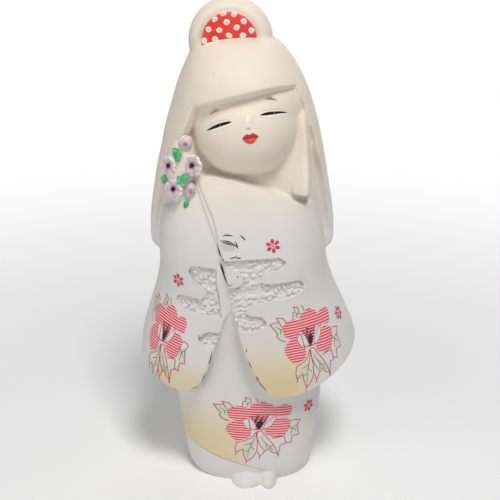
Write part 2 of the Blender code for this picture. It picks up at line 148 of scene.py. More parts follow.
class PaintSettings(bpy.types.PropertyGroup):
    crimson: paint_setting("Crimson", "Dark lines of the printed flowers", 210, 48, 68)
    petal_pink: paint_setting("Petal pink", "Ground between the petal lines", 246, 176, 180)
    pad_red: paint_setting("Pad red", "Red of the dotted cloth pad", 226, 44, 34)
    lip_red: paint_setting("Lip red", "Orange red of the lips", 222, 74, 50)
    leaf_green: paint_setting("Leaf green", "Green of the leaves in the hair", 20, 150, 78)
    paint_lift: FloatProperty(
        name="Paint lift",
        description="How far painted lines stand off the clay",
        default=0.10 * MM,
        min=0.02 * MM,
        unit="LENGTH",
    )


# Working the clay


def fresh():
    """Leaves nothing selected, so that the next operator acts on the new piece alone."""
    if bpy.context.object and bpy.context.object.mode != "OBJECT":
        bpy.ops.object.mode_set(mode="OBJECT")
    bpy.ops.object.select_all(action="DESELECT")


def pick(*pieces):
    """Selects these pieces alone, the first of them active."""
    fresh()
    for piece in pieces:
        piece.select_set(True)
    bpy.context.view_layer.objects.active = pieces[0]


def corners(piece):
    flat = np.empty(len(piece.data.vertices) * 3)
    piece.data.vertices.foreach_get("co", flat)
    return flat.reshape(-1, 3)


def move_corners(piece, places):
    piece.data.vertices.foreach_set("co", np.ascontiguousarray(places, dtype=float).ravel())
    piece.data.update()


def apply_modifier(piece, kind, **settings):
    modifier = piece.modifiers.new(kind.lower(), kind)
    for name, value in settings.items():
        setattr(modifier, name, value)
    pick(piece)
    bpy.ops.object.modifier_apply(modifier=modifier.name)


def combine(piece, other, operation):
    apply_modifier(piece, "BOOLEAN", operation=operation, object=other, solver="EXACT")
    bpy.data.objects.remove(other)
    return piece


def join(name, pieces):
    pick(*pieces)
    if len(pieces) > 1:
        bpy.ops.object.join()
    pieces[0].name = name
    pieces[0].data.name = name
    return pieces[0]


def smooth_rows(stations, levels):
    """Rows of a smooth curve through the stations, read at the given levels."""
    table = np.array(stations, float)
    heights = table[:, 0]
    slopes = np.gradient(table, heights, axis=0)
    i = np.clip(np.searchsorted(heights, levels, side="right") - 1, 0, len(heights) - 2)
    span = (heights[i + 1] - heights[i])[:, None]
    t = (levels - heights[i])[:, None] / span
    return (
        (2 * t**3 - 3 * t**2 + 1) * table[i]
        + (t**3 - 2 * t**2 + t) * span * slopes[i]
        + (3 * t**2 - 2 * t**3) * table[i + 1]
        + (t**3 - t**2) * span * slopes[i + 1]
    )


def draw_up(name, stations, rows=150, around=220, low=None, high=None, bumps=None):
    """A closed skin rolled up from a sheet, with level rings that follow the stations.

    Each station is height, centre x, half width, front, back and squareness.
    """
    fresh()
    bpy.ops.mesh.primitive_grid_add(x_subdivisions=around, y_subdivisions=rows - 1, size=2)
    skin = bpy.context.object
    skin.name = name
    sheet = corners(skin)
    angle = np.rint((sheet[:, 0] + 1) / 2 * around) % around * (2 * math.pi / around)
    row = np.rint((sheet[:, 1] + 1) / 2 * (rows - 1)).astype(int)
    low = stations[0][0] if low is None else low
    high = stations[-1][0] if high is None else high
    z, centre, half, front, back, power = smooth_rows(stations, np.linspace(low, high, rows))[row].T
    c, s = np.cos(angle), np.sin(angle)
    x = centre + half * np.sign(c) * np.abs(c) ** (2 / power)
    y = np.where(s > 0, back, front) * np.sign(s) * np.abs(s) ** (2 / power)
    move_corners(skin, np.stack([x, y, z], axis=1))
    pick(skin)
    bpy.ops.object.mode_set(mode="EDIT")
    bpy.ops.mesh.select_all(action="SELECT")
    bpy.ops.mesh.remove_doubles(threshold=0.0005)
    bpy.ops.mesh.fill_holes(sides=0)
    bpy.ops.mesh.select_all(action="SELECT")
    bpy.ops.mesh.normals_make_consistent(inside=False)
    bpy.ops.object.mode_set(mode="OBJECT")
    if bumps:
        places = corners(skin)
        for k, place in enumerate(places):
            if place[1] < -12:
                places[k, 1] -= bumps(Vector(place))
        move_corners(skin, places)
    return skin


def ball(name, centre, half_sizes, turn=None, segments=64, flatness=2.0):
    """A ball of three half sizes. A flatness above 2 gives it a flatter front and a fuller rim."""
    fresh()
    bpy.ops.mesh.primitive_uv_sphere_add(segments=segments, ring_count=segments // 2, radius=1)
    piece = bpy.context.object
    piece.name = name
    if flatness != 2:
        places = corners(piece)
        reach = np.maximum(np.hypot(places[:, 0], places[:, 2]), 1e-6)
        fuller = reach ** (2 / flatness - 1)
        places[:, 0] *= fuller
        places[:, 2] *= fuller
        places[:, 1] = np.sign(places[:, 1]) * np.abs(places[:, 1]) ** (2 / flatness)
        move_corners(piece, places)
    place = Matrix.Translation(centre) @ (turn or Matrix.Identity(4))
    piece.matrix_world = place @ Matrix.Diagonal((*half_sizes, 1))
    bpy.ops.object.transform_apply(location=True, rotation=True, scale=True)
    return piece


def inset(outline, distance):
    """Moves each edge of an outline inwards by distance and returns the new corners."""
    points = [Vector(p) for p in outline]
    area = sum(a.x * b.y - b.x * a.y for a, b in zip(points, points[1:] + points[:1]))
    side = math.copysign(1, area)
    moved = []
    for before, here, after in zip(points[-1:] + points[:-1], points, points[1:] + points[:1]):
        first = (here - before).normalized()
        second = (after - here).normalized()
        normal = Vector((-first.y - second.y, first.x + second.x)) * side
        moved.append(here + normal * distance / max(0.3, 0.5 * normal.length**2))
    return moved


def rounded(outline, radius, steps=4):
    """Replaces each corner of an outline by an arc-like curve that starts radius away from it."""
    points = [Vector(p) for p in outline]
    soft = []
    for before, here, after in zip(points[-1:] + points[:-1], points, points[1:] + points[:1]):
        start = here + (before - here).normalized() * min(radius, (before - here).length * 0.49)
        end = here + (after - here).normalized() * min(radius, (after - here).length * 0.49)
        for k in range(steps + 1):
            t = k / steps
            soft.append(start.lerp(here, t).lerp(here.lerp(end, t), t))
    return soft


def block(name, outline, front, back, corner=2.5):
    """A front-view outline, extruded straight through from front to back."""
    soft = rounded(outline, corner)
    fresh()
    bpy.ops.mesh.primitive_circle_add(vertices=len(soft), radius=1, fill_type="NGON")
    piece = bpy.context.object
    piece.name = name
    move_corners(piece, [(x, front, z) for x, z in soft])
    bpy.ops.object.mode_set(mode="EDIT")
    bpy.ops.mesh.select_all(action="SELECT")
    bpy.ops.mesh.extrude_region_move(TRANSFORM_OT_translate={"value": (0, back - front, 0)})
    bpy.ops.mesh.select_all(action="SELECT")
    bpy.ops.mesh.normals_make_consistent(inside=False)
    bpy.ops.object.mode_set(mode="OBJECT")
    return piece


# Masses of the figure


def skirt_and_torso():
    hem, hem_d = HEM_HALF
    skirt, skirt_d = SKIRT_HALF
    torso, torso_d = BODY_HALF
    chest_d = KIMONO_FRONT - 3
    stations = [
        (-3, 0.4, hem - 2.2, hem_d - 2.5, hem_d - 2.5, 2.5),
        (0, 0.4, hem - 1, hem_d - 1.5, hem_d - 1.5, 2.5),
        (4, 0.2, hem + 0.8, hem_d, hem_d + 0.5, 2.5),
        (16, 0, hem + 2.7, hem_d + 1.5, hem_d + 1.5, 2.5),
        (35, -0.3, skirt - 0.7, skirt_d - 1.5, skirt_d - 0.5, 2.5),
        (SLEEVE_HEM_Z, -0.8, skirt + 1, skirt_d - 1, skirt_d, 2.4),
        (95, -2, torso, torso_d, KIMONO_BACK - 1, 2.3),
        (125, CENTRE_X, torso + 1, chest_d, KIMONO_BACK, 2.4),
        (150, CENTRE_X, torso - 1, chest_d - 1, KIMONO_BACK, 2.4),
        (172, CENTRE_X, 36, 33, 30, 2.2),
        (186, CENTRE_X, 26, 26, 24, 2.1),
    ]
    return draw_up("skirt_and_torso", stations)


def kimono_skin(name, front_change, **fineness):
    """The outer skin of the sleeves and shoulders. front_change sets it back or forward."""
    back = KIMONO_BACK
    f = front_change
    stations = [
        (SLEEVE_HEM_Z - 6, -1, SLEEVE_HALF - 1.5, SLEEVE_FRONT - 2.5 + f, back + 1, 2.5),
        (SLEEVE_FULL_Z, -0.3, SLEEVE_HALF, SLEEVE_FRONT + f, back + 3, 2.4),
        (92, -1, SLEEVE_HALF - 2.7, SLEEVE_FRONT + f, back + 3, 2.35),
        (105, -1.8, SLEEVE_HALF - 7.4, SLEEVE_FRONT + f, back + 2, 2.3),
        (118, -2.7, SLEEVE_HALF - 12.2, KIMONO_FRONT + f, back + 1, 2.3),
        (130, -3.6, CHEST_HALF + 0.8, KIMONO_FRONT + f, back, 2.5),
        (150, CENTRE_X - 0.7, CHEST_HALF - 1, KIMONO_FRONT - 0.5 + f, back - 1, 2.8),
        (165, CENTRE_X - 1.7, SHOULDER_HALF + 0.7, KIMONO_FRONT - 2.5 + f, back - 3, 2.8),
        (178, CENTRE_X - 2, SHOULDER_HALF - 3, KIMONO_FRONT - 5 + f, back - 6, 2.5),
        (COLLAR_Z + 2, CENTRE_X - 2.5, SHOULDER_HALF - 10, KIMONO_FRONT - 9 + f, back - 12, 2.2),
    ]
    return draw_up(name, stations, **fineness)


def cut_from_skin(name, front_change, outline, front=BEFORE, back=6, corner=2.5):
    """The part of the kimono's skin that lies within a front-view outline."""
    cut = block("cut", outline, front, back, corner)
    return combine(kimono_skin(name, front_change), cut, "INTERSECT")


def outer_hem():
    """The lower edge of the outer sleeve, from the front round to the doll's side."""
    hem = SLEEVE_HEM_Z
    line = [(27, hem + 0.7), (37, hem + 4), (48.7, hem + 11.5), (57.8, hem + 19), (62.5, hem + 25)]
    return line + [(BESIDE, hem + 34)]


def inner_hem():
    """The lower edge of the inner sleeve, from the front round to the doll's side."""
    hem = SLEEVE_HEM_Z
    line = [(-38, hem + 0.8), (-45, hem + 1.4), (-52, hem + 3.6), (-58, hem + 7.4), (-62.5, hem + 13)]
    return line + [(-BESIDE, hem + 19)]


def outer_sleeve():
    """The doll's left sleeve, to the right in a front view, which laps over the other."""
    outline = [(-29, COLLAR_Z), (-19.5, 170), (-14.5, 146), (-9.6, 118.6), (-6.5, 104), (-2.8, 90)]
    outline += [(3.7, 74.6), (9.5, SLEEVE_HEM_Z + 3), (16, SLEEVE_HEM_Z), *outer_hem(), (BESIDE, 150)]
    outline += [(37.5, 166), (34, 173.5), (28, 174.5), (21, 177.5), (8, 184.5), (-6, COLLAR_Z - 1)]
    outline += [(-18, COLLAR_Z + 1)]
    return cut_from_skin("outer_sleeve", 0, outline)


def inner_sleeve():
    """The doll's right sleeve, set back where the other laps over it."""
    outline = [(-2, 178), (0, 130), (-13.5, 112), (-17.5, 100), (-22.6, 82.6), (-27.5, 69.7)]
    outline += [(-32, SLEEVE_HEM_Z + 1.5), *inner_hem(), (-BESIDE, 150), (-50, 163), (-48.5, 168)]
    outline += [(-38, 175.5), (-29, 187), (-20, 188)]
    return cut_from_skin("inner_sleeve", -OVERLAP_STEP, outline)


def collar_band():
    """The edge of the collar, seen as a narrow strip along the lap of the outer sleeve's side."""
    outline = [(-31, 189), (-27.5, 182.6), (-23.2, 171), (-18, 156.5), (-16, 149), (-10, 149), (-12, 165)]
    return cut_from_skin("collar_band", -OVERLAP_STEP * 0.5, outline + [(-20, 188)], corner=1)


def back_sleeves():
    """Both sleeves seen from behind, where they hang at the sides of the back."""
    made = []
    for side, hem in ((1, outer_hem()), (-1, inner_hem())):
        inner_edge = [(side * 30, 150), (side * 32, 100), (side * 34, SLEEVE_HEM_Z + 6)]
        outline = inner_edge + hem[1:] + [(side * BESIDE, 150)]
        made.append(cut_from_skin("back_sleeve", 0, outline, -2, 70))
    return made


def kimono_back():
    outline = [(-46, 120), (40, 120), (36, 166), (20, 180), (-28, 180), (-48, 165)]
    return cut_from_skin("kimono_back", -2, outline, -20, 70)


def hair_skin(name, shrink, **fineness):
    """The bell that the hair makes over the head and down the back, or a smaller copy inside it."""
    wide, head = HAIR_HALF - shrink, HEAD_HALF - shrink
    front, back = FRINGE_FRONT - shrink, HAIR_BACK - shrink
    x = CENTRE_X - 0.5
    stations = [
        (HAIR_HEM_Z - 1.5, x, wide - 4.5, 9, back - 5, 2.2),
        (HAIR_HEM_Z + 1.5, x, wide - 1.5, 12, back - 2, 2.2),
        (HAIR_HEM_Z + 5, x, wide - 0.2, 14, back - 0.5, 2.2),
        (152, x, wide, 16, back + 0.5, 2.2),
        (165.5, x - 0.1, wide - 1, 20, back + 0.5, 2.2),
        (177.6, x - 0.1, wide - 3, 28, back, 2.2),
        (189.5, x - 0.1, wide - 5, 35 - shrink, back - 0.5, 2.2),
        (201, x + 0.2, head + 2.6, front - 2.5, back - 1, 2.2),
        (213, x + 0.2, head, front - 0.5, back - 1.5, 2.2),
        (224, x + 0.3, head - 3.2, front + 0.3, back - 2.5, 2.2),
        (235, x, head - 6.8, front, back - 5, 2.15),
        (246, x - 0.6, head - 11.8, front - 4, back - 10, 2.1),
        (252, x - 1.2, head - 15.4, front - 10, back - 14, 2.1),
        (257, x - 1.4, head - 19.7, front - 18, back - 19, 2.2),
        (CROWN_Z - 3, x - 0.8, head - 26, front - 27, back - 26, 2.3),
        (CROWN_Z, x, 8, 6, 7, 2.2),
    ]
    return draw_up(name, stations, **fineness)


def hair():
    """The hair frames the face with a bevelled edge and hangs open in front of the shoulders."""
    shell = hair_skin("hair", 0)
    rim = [(-29.2, 231.6), (-11.8, 237.6), (2.8, 241.1), (14.7, 241.9), (24.1, 239.7), (29, 229.6)]
    rim += [(32.2, 220.2), (35.3, 210), (37, 201), (39.1, 193), (41.3, 182), (43.5, 171), (45.3, 161)]
    rim += [(46.2, 152), (46.5, 130), (-55.3, 130), (-54.1, 157.5), (-51.8, 171), (-48.7, 184.4)]
    rim += [(-44.1, 198), (-38.6, 211), (-35.2, 216.7)]
    for step in range(1, BEVEL_STEPS + 1):
        part = step / BEVEL_STEPS
        edge = inset(rim, FRINGE_BEVEL * 1.1 * (part - 1 / BEVEL_STEPS))
        cutter = block("bevel_step", edge, -60, -4, 0.5)
        combine(cutter, hair_skin("bevel_floor", FRINGE_BEVEL * 1.35 * part, rows=70), "DIFFERENCE")
        combine(shell, cutter, "DIFFERENCE")
    window = [(-26.4, 229.4), (-8, 235.3), (4, 237.8), (14.6, 238.8), (22.8, 236.6), (28.4, 225)]
    window += [(30, 211), (32, 195.8), (33, 150), (-40, 150), (-40, 196), (-34, 209)]
    return combine(shell, block("face_opening", window, -60, -22, 1.2), "DIFFERENCE")


def head_turn(share=1.0):
    return Matrix.Rotation(-HEAD_TILT * share, 4, "Y")


def face():
    """The face is a soft ball under a broad forehead, with a small nose and lips."""
    tilt = head_turn()
    half_width, depth, half_height = FACE_HALF
    broad = (half_width + 3.5, depth - 1, half_height - 2.5)
    return [
        ball("face", (FACE_X, -9.5, FACE_Z), FACE_HALF, tilt, 120),
        ball("forehead", (FACE_X - 0.7, -6, FACE_Z + 9), broad, tilt, 120),
        ball("nose", (FACE_X + 1.9, -38.5, FACE_Z + 9), (2.7, 3.2, 4.6), tilt, 48),
        ball("lips", (FACE_X + 3, -41, FACE_Z + 0.4), (3.6, 2, 2.4), tilt, 48),
    ]


def soften_face(clay):
    """Blends the masses of the face into each other, the nose and lips less than the rest."""
    x, y, z = corners(clay).T
    below_fringe = (236.2 + 0.23 * x - z - 0.6) / 1.5
    reach = np.hypot((x - FACE_X - 0.5) / 26, (z - FACE_Z - 1) / 25)
    weight = np.clip(np.minimum(below_fringe, (1.0 - reach) / 0.1), 0, 1) * (y < -20)
    weight *= 1 - 0.8 * np.exp(-(((x + 0.9) / 3.4) ** 2) - ((z - 224.5) / 4.6) ** 2)
    weight *= 1 - 0.85 * np.exp(-(((x - 0.2) / 4.5) ** 2) - ((z - 216.4) / 3) ** 2)
    group = clay.vertex_groups.new(name="soft_face")
    for share in range(1, 11):
        chosen = np.flatnonzero(np.rint(weight * 10) == share)
        group.add(chosen.tolist(), share / 10, "REPLACE")
    apply_modifier(clay, "SMOOTH", factor=0.5, iterations=FACE_ROUNDS, vertex_group=group.name)
    clay.vertex_groups.clear()


def side_lock():
    """The lock of hair beside the cheek, cut off blunt on the shoulder, with its ridge on the outside."""
    stations = [
        (180, 26.4, 6.9, 30.4, 5, 3.8),
        (184, 26.4, 7, 30, 5, 3.8),
        (190, 26.6, 6.9, 28.7, 5, 3.6),
        (200, 27, 6.2, 26.2, 5, 3),
        (211, 27.6, 4.9, 24.7, 5, 2.6),
        (222, 28, 3.2, 22.6, 5, 2.2),
        (231, 27.6, 1.8, 18.5, 5, 2.2),
    ]
    lock = draw_up("side_lock", stations, rows=50, around=90)
    places = corners(lock)
    places[:, 1] -= LOCK_SLOPE * (places[:, 0] - LOCK_RIDGE_X)
    move_corners(lock, places)
    return lock


def pad_place(depth=0.0):
    """The middle of the pad, or a place so far behind the face of the bun."""
    x, y = BUN_PLACE
    return Vector((x - 0.5, y - BUN_FRONT + depth, BUN_Z + 2.6))


def bun():
    """A thick ring of hair with a recess for the dotted pad in its face."""
    tilt = head_turn(BUN_TURN)
    ring = ball("bun", (*BUN_PLACE, BUN_Z), (BUN_RADIUS, BUN_FRONT, BUN_RADIUS), tilt, 110, 2.8)
    reach = PAD_RADIUS + PAD_GROOVE
    recess = ball("bun_recess", pad_place(), (reach, PAD_RECESS + 0.5, reach), tilt, 80, 3.5)
    combine(ring, recess, "DIFFERENCE")
    bed = PAD_RADIUS - 0.3
    sizes = (bed, PAD_RECESS + 0.3, bed)
    return [ring, ball("pad_bed", pad_place(PAD_RECESS), sizes, tilt, 80, PAD_FLATNESS)]


def foot():
    """A foot in a split-toed sock that looks out from under the hem."""
    tip = -HEM_HALF[1] - 8.8
    splay = Matrix.Rotation(math.radians(-22), 4, "Z")
    return [
        ball("big_toe", (10.9, tip + 9.5, 1.2), (4.9, 9.5, 5.6), None, 48),
        ball("toes", (-1, tip + 12, 0.8), (9.9, 11.5, 6), splay, 48),
        ball("instep", (1.8, tip + 24, 1), (13.35, 18, 8), None, 64),
    ]


def flower_bed():
    """A low swell of the hair that carries the flowers."""
    swell = Matrix.Rotation(math.radians(-50), 4, "Z") @ Matrix.Rotation(math.radians(12), 4, "Y")
    return ball("flower_bed", (-37.5, -21, 193), (9, 8, 20), swell, 64)


def cloud_outlines():
    """Banks of mist: round-ended bars that a stem joins, cut off by the edge of each sleeve."""
    outer = [(-16, 147.2), (-9.7, 147.8), (5, 148.6), (16.2, 149), (19.4, 146.8), (19.5, 144)]
    outer += [(16.8, 141.3), (9.8, 140.7), (6.5, 138), (6.2, 134.6), (9, 133.9), (27.2, 134)]
    outer += [(29.6, 131.4), (29.2, 127), (25.7, 124.6), (9.9, 122.7), (2.2, 121.5), (-1.4, 118.8)]
    outer += [(-2.4, 116.2), (1.4, 114.8), (6.4, 114.2), (9.4, 111), (8, 107.2), (3.6, 105)]
    outer += [(-6.5, 104.9), (-9.8, 118), (-12.4, 131.4), (-8, 131.6), (-4.2, 134.2), (-3.6, 138)]
    outer += [(-6.5, 141.3), (-14.5, 143)]
    inner = [(-18, 141.4), (-20.7, 141.8), (-28.8, 142.4), (-32.1, 141.8), (-34, 139.2), (-33.3, 135.8)]
    inner += [(-29.8, 131.4), (-24.6, 128.6), (-24, 125.4), (-27, 122.2), (-37.5, 123), (-41, 121.4)]
    inner += [(-41, 118), (-36.5, 114.2), (-27.7, 112.4), (-15.5, 111.5), (-17, 127), (-18.4, 133.5)]
    lower = [(-28.6, 97.4), (-26.8, 101), (-23.4, 102.9), (-16.4, 102.9), (-17.3, 99), (-19.4, 94.2)]
    lower += [(-23.6, 93.4), (-27.3, 95)]
    return [outer, inner, lower]


def pebbles(place):
    """How far the rough floor of a cloud rises at a place."""
    near = noise.voronoi(place / PEBBLE_SIZE)[0][0]
    return 1.5 * max(0.0, 1 - (near / 0.66) ** 2) + 0.3 * noise.noise(place * 0.3)


def carve_clouds(clay):
    """Sinks each cloud to an even depth below the sleeve that it lies on, with a pebbly floor."""
    for number, outline in enumerate(cloud_outlines()):
        level = 0 if number == 0 else -OVERLAP_STEP
        heights = [z for _, z in outline]
        low, high = min(heights) - 4, max(heights) + 4
        rows = int((high - low) / CLOUD_ROW)
        cutter = block("cloud", outline, BEFORE, -20, 1.4)
        fineness = {"rows": rows, "around": CLOUD_AROUND, "low": low, "high": high, "bumps": pebbles}
        combine(cutter, kimono_skin("cloud_floor", level - CLOUD_DEPTH - 0.9, **fineness), "DIFFERENCE")
        combine(clay, cutter, "DIFFERENCE")


def hollow_out(clay):
    """Levels the base on the floor, then opens the hollow that a cast doll has and its vent hole."""
    below = [(-200, -60), (200, -60), (200, 0), (-200, 0)]
    combine(clay, block("below_floor", below, -200, 200, 0), "DIFFERENCE")
    hem, hem_d = HEM_HALF[0] - WALL, HEM_HALF[1] - WALL
    torso, torso_d = BODY_HALF[0] - WALL, BODY_HALF[1] - WALL
    stations = [
        (WALL, 0, hem - 3, hem_d - 3, hem_d - 3, 2.3),
        (WALL + 8, 0, hem, hem_d, hem_d, 2.4),
        (SLEEVE_HEM_Z, -1, torso - 1, torso_d - 1, torso_d - 1, 2.3),
        (120, -3, torso, torso_d, torso_d, 2.2),
        (185, CENTRE_X, torso - 14, torso_d - 9, torso_d - 1, 2),
    ]
    combine(clay, draw_up("hollow", stations, rows=20, around=48), "DIFFERENCE")
    ring = (0, VENT_RADIUS, VENT_RADIUS, VENT_RADIUS, 2)
    combine(clay, draw_up("vent", [(-4, *ring), (WALL + 5, *ring)], rows=2, around=64), "DIFFERENCE")


def set_down(piece):
    """Takes a piece from its working place in millimetres to its place in metres."""
    piece.data.transform(Matrix.Scale(MM, 4) @ Matrix.Translation(SET_DOWN))
    piece.data.update()


def shade(piece, degrees=40):
    pick(piece)
    bpy.ops.object.shade_smooth_by_angle(angle=math.radians(degrees))


def hand_over(piece, material):
    """Gives a piece its finish and lets it ride with the doll."""
    piece.data.materials.clear()
    piece.data.materials.append(material)
    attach(piece, "root")


# Finishes


class Value:
    """A socket that takes part in arithmetic: an expression on it adds Math nodes."""

    def __init__(self, finish, socket):
        self.finish = finish
        self.socket = socket

    def math(self, operation, *values):
        return self.finish.node("ShaderNodeMath", {"operation": operation}, values)

    def __add__(self, other):
        return self.math("ADD", self, other)

    def __sub__(self, other):
        return self.math("SUBTRACT", self, other)

    def __rsub__(self, other):
        return self.math("SUBTRACT", other, self)

    def __mul__(self, other):
        return self.math("MULTIPLY", self, other)

    def __truediv__(self, other):
        return self.math("DIVIDE", self, other)

    def __pow__(self, other):
        return self.math("POWER", self, other)

    __radd__ = __add__
    __rmul__ = __mul__

    def larger(self, other):
        return self.math("MAXIMUM", self, other)

    def smaller(self, other):
        return self.math("MINIMUM", self, other)

    def fraction(self):
        return self.math("FRACT", self)

    def size(self):
        return self.math("ABSOLUTE", self)

    def rise(self, low, high):
        """Goes smoothly from 0 at low to 1 at high."""
        settings = {"interpolation_type": "SMOOTHSTEP"}
        if low > high:
            return 1 - self.finish.node("ShaderNodeMapRange", settings, (self, high, low, 0.0, 1.0))
        return self.finish.node("ShaderNodeMapRange", settings, (self, low, high, 0.0, 1.0))


class Finish:
    """A material whose nodes are added one by one through the same method."""

    def __init__(self, name, roughness=0.55):
        self.material = bpy.data.materials.new(name)
        self.material.use_nodes = True
        self.tree = self.material.node_tree
        self.shader = self.tree.nodes["Principled BSDF"]
        self.shader.inputs["Roughness"].default_value = roughness
        self.shader.inputs["Metallic"].default_value = 0.0
        self.shader.inputs["IOR"].default_value = 1.45

    def node(self, kind, settings=None, values=(), output=0):
        node = self.tree.nodes.new(kind)
        for name, value in (settings or {}).items():
            setattr(node, name, value)
        places = values.items() if isinstance(values, dict) else enumerate(values)
        for place, value in places:
            if isinstance(value, Value):
                self.tree.links.new(value.socket, node.inputs[place])
            else:
                node.inputs[place].default_value = value
        return Value(self, node.outputs[output])

    def place(self):
        """Where on the doll a point is, in metres."""
        return self.node("ShaderNodeTexCoord", output=3)

    def print_place(self):
        """Where on its own print a point is, in millimetres."""
        return self.node("ShaderNodeUVMap", {"uv_map": "print"})

    def parts(self, vector):
        split = self.node("ShaderNodeSeparateXYZ", None, (vector,))
        return [Value(self, socket) for socket in split.socket.node.outputs]

    def grain(self, vector, scale, detail=2.0, roughness=0.5):
        values = {"Vector": vector, "Scale": scale, "Detail": detail, "Roughness": roughness}
        return self.node("ShaderNodeTexNoise", None, values)

    def cells(self, vector, scale):
        return self.node("ShaderNodeTexVoronoi", None, {"Vector": vector, "Scale": scale})

    def mix(self, factor, first, second):
        first = first if isinstance(first, Value) else (*first, 1)
        second = second if isinstance(second, Value) else (*second, 1)
        return self.node("ShaderNodeMix", {"data_type": "RGBA"}, {0: factor, 6: first, 7: second}, 2)

    def bump(self, height, strength, distance):
        values = {"Strength": strength, "Distance": distance, "Height": height}
        return self.node("ShaderNodeBump", None, values)

    def use(self, **links):
        for name, value in links.items():
            socket = self.shader.inputs[name.replace("_", " ")]
            self.tree.links.new(value.socket, socket)
        return self.material


def blot(finish, place, middle, reach, soft):
    """A round-edged patch on the doll: 1 in the middle and 0 outside its reach in x and z, in mm."""
    x, _, z = place
    across = (x - (middle[0] + SET_DOWN.x) * MM) / (reach[0] * MM)
    up = (z - middle[1] * MM) / (reach[1] * MM)
    return ((across * across + up * up) ** 0.5).rise(1.0, 1.0 - soft)


def clay_finish(settings):
    """Chalk-white ground over clay: warm on the head, cooler below, with tan washes and old wear, and
    painted shade and highlight on the nose, round the pad and on a worn patch of the chest.
    """
    finish = Finish("white_clay_ground", 0.62)
    vector = finish.place()
    x, y, z = finish.parts(vector)
    place = (x, y, z)
    front = y.rise(-0.010, -0.024)
    mottle = finish.grain(vector, 38.0, 4.0, 0.6)
    cloud = finish.grain(vector, 11.0, 3.0, 0.55)
    speck = finish.cells(vector, 260.0)
    fine = finish.grain(vector, 900.0, 3.0, 0.6)
    head = (z + (mottle - 0.5) * 0.012).rise(0.150, 0.205)
    colour = finish.mix(head, tuple(settings.kimono_white), tuple(settings.hair_white))
    colour = finish.mix((0.5 - cloud).larger(0.0) * 0.9, colour, tint(206, 196, 180))
    colour = finish.mix((mottle - 0.5).larger(0.0) * 0.5, colour, tint(240, 236, 228))
    wobble = (cloud - 0.5) * 0.03
    outside = ((x - 0.0002).size() / 0.0637) ** 2.4 + (y.size() / 0.042) ** 2.4
    sleeve = outside.rise(0.70, 0.82)
    right_wash = (z + wobble * 0.6).rise(0.104, 0.066) * (x + wobble).rise(0.050, 0.018)
    right_wash = right_wash * z.rise(0.050, 0.058) * (x + z * 0.32).rise(0.012, 0.026) * front * sleeve
    left_wash = (z + wobble * 0.5).rise(0.090, 0.064) * x.rise(-0.018, -0.026) * x.rise(-0.066, -0.050)
    left_wash = left_wash * z.rise(0.05, 0.06) * y.rise(0.006, -0.022) * sleeve
    skirt_wash = (z + x * 0.32).rise(0.0102, 0.0122) * (z + wobble).rise(0.058, 0.026)
    skirt_wash = skirt_wash * x.rise(0.010, -0.014) * y.rise(0.022, -0.010)
    wash = (right_wash * 0.85).larger(left_wash * 0.62).larger(skirt_wash * 0.75)
    colour = finish.mix(wash * (0.75 + mottle * 0.4), colour, tuple(settings.wash))
    cheek = blot(finish, place, (-19.0, 209.0), (9.0, 8.0), 0.9)
    cheek = cheek.larger(blot(finish, place, (16.0, 211.0), (9.0, 8.0), 0.9))
    colour = finish.mix(cheek * 0.13 * front, colour, tint(232, 190, 176))
    # Painted shadow under the tip of the nose
    nose = blot(finish, place, (-0.8, 221.9), (2.1, 1.2), 0.8)
    colour = finish.mix(nose * 0.62 * front, colour, tint(150, 138, 128))
    # Painted highlight down the ridge of the nose
    ridge = blot(finish, place, (-1.0, 225.6), (2.4, 4.0), 0.95)
    colour = finish.mix(ridge * 0.6 * front, colour, tint(252, 246, 236))
    # Worn patch on the chest, greyed partly as wear and partly as painted shade in its shallow dent
    flake_wear_and_shade = blot(finish, place, (-11.6, 155.6), (5.4, 3.6), 0.5)
    colour = finish.mix(flake_wear_and_shade * 0.6 * front, colour, tint(178, 180, 184))
    middle = pad_place()
    reach = PAD_RADIUS + PAD_GROOVE
    # Painted shade in the hollow ring round the pad
    painted_groove_shade = blot(finish, place, (middle.x, middle.z), (reach, reach), 0.12)
    painted_groove_shade = painted_groove_shade * z.rise(0.259, 0.263) * y.rise(-0.006, -0.008)
    colour = finish.mix(painted_groove_shade * 0.45, colour, tint(186, 176, 164))
    dust = (speck.rise(0.13, 0.05) * (mottle - 0.58).larger(0.0) * 9.0).smaller(1.0)
    colour = finish.mix(dust * 0.55, colour, tint(150, 132, 110))
    colour = finish.mix((fine - 0.5).larger(0.0) * 0.35, colour, tint(200, 192, 180))
    height = fine * 0.35 + mottle * 0.9 - dust * 0.6
    finish.use(
        Base_Color=colour,
        Roughness=0.56 + mottle * 0.16 - wash * 0.08,
        Normal=finish.bump(height, 0.25, 0.0004),
    )
    return finish.material


# Painting on the clay. A print starts this far before its place and reaches this far back, in metres

PRINT_START = 0.030
PRINT_REACH = 0.075


def smooth_line(points, closed, gap):
    """Places along a smooth curve through the given points, about gap apart."""
    points = [Vector(p) for p in points]
    count = len(points)
    run = []
    for k in range(count if closed else count - 1):
        if closed:
            a, b, c, d = (points[(k + n - 1) % count] for n in range(4))
        else:
            b, c = points[k], points[k + 1]
            a = points[k - 1] if k else b * 2 - c
            d = points[k + 2] if k + 2 < count else c * 2 - b
        steps = max(1, int((c - b).length / gap))
        for n in range(steps):
            t = n / steps
            square = (2 * a - 5 * b + 4 * c - d) * t * t
            cube = (3 * b - a - 3 * c + d) * t**3
            run.append(0.5 * (2 * b + (c - a) * t + square + cube))
    return run if closed else run + [points[-1]]


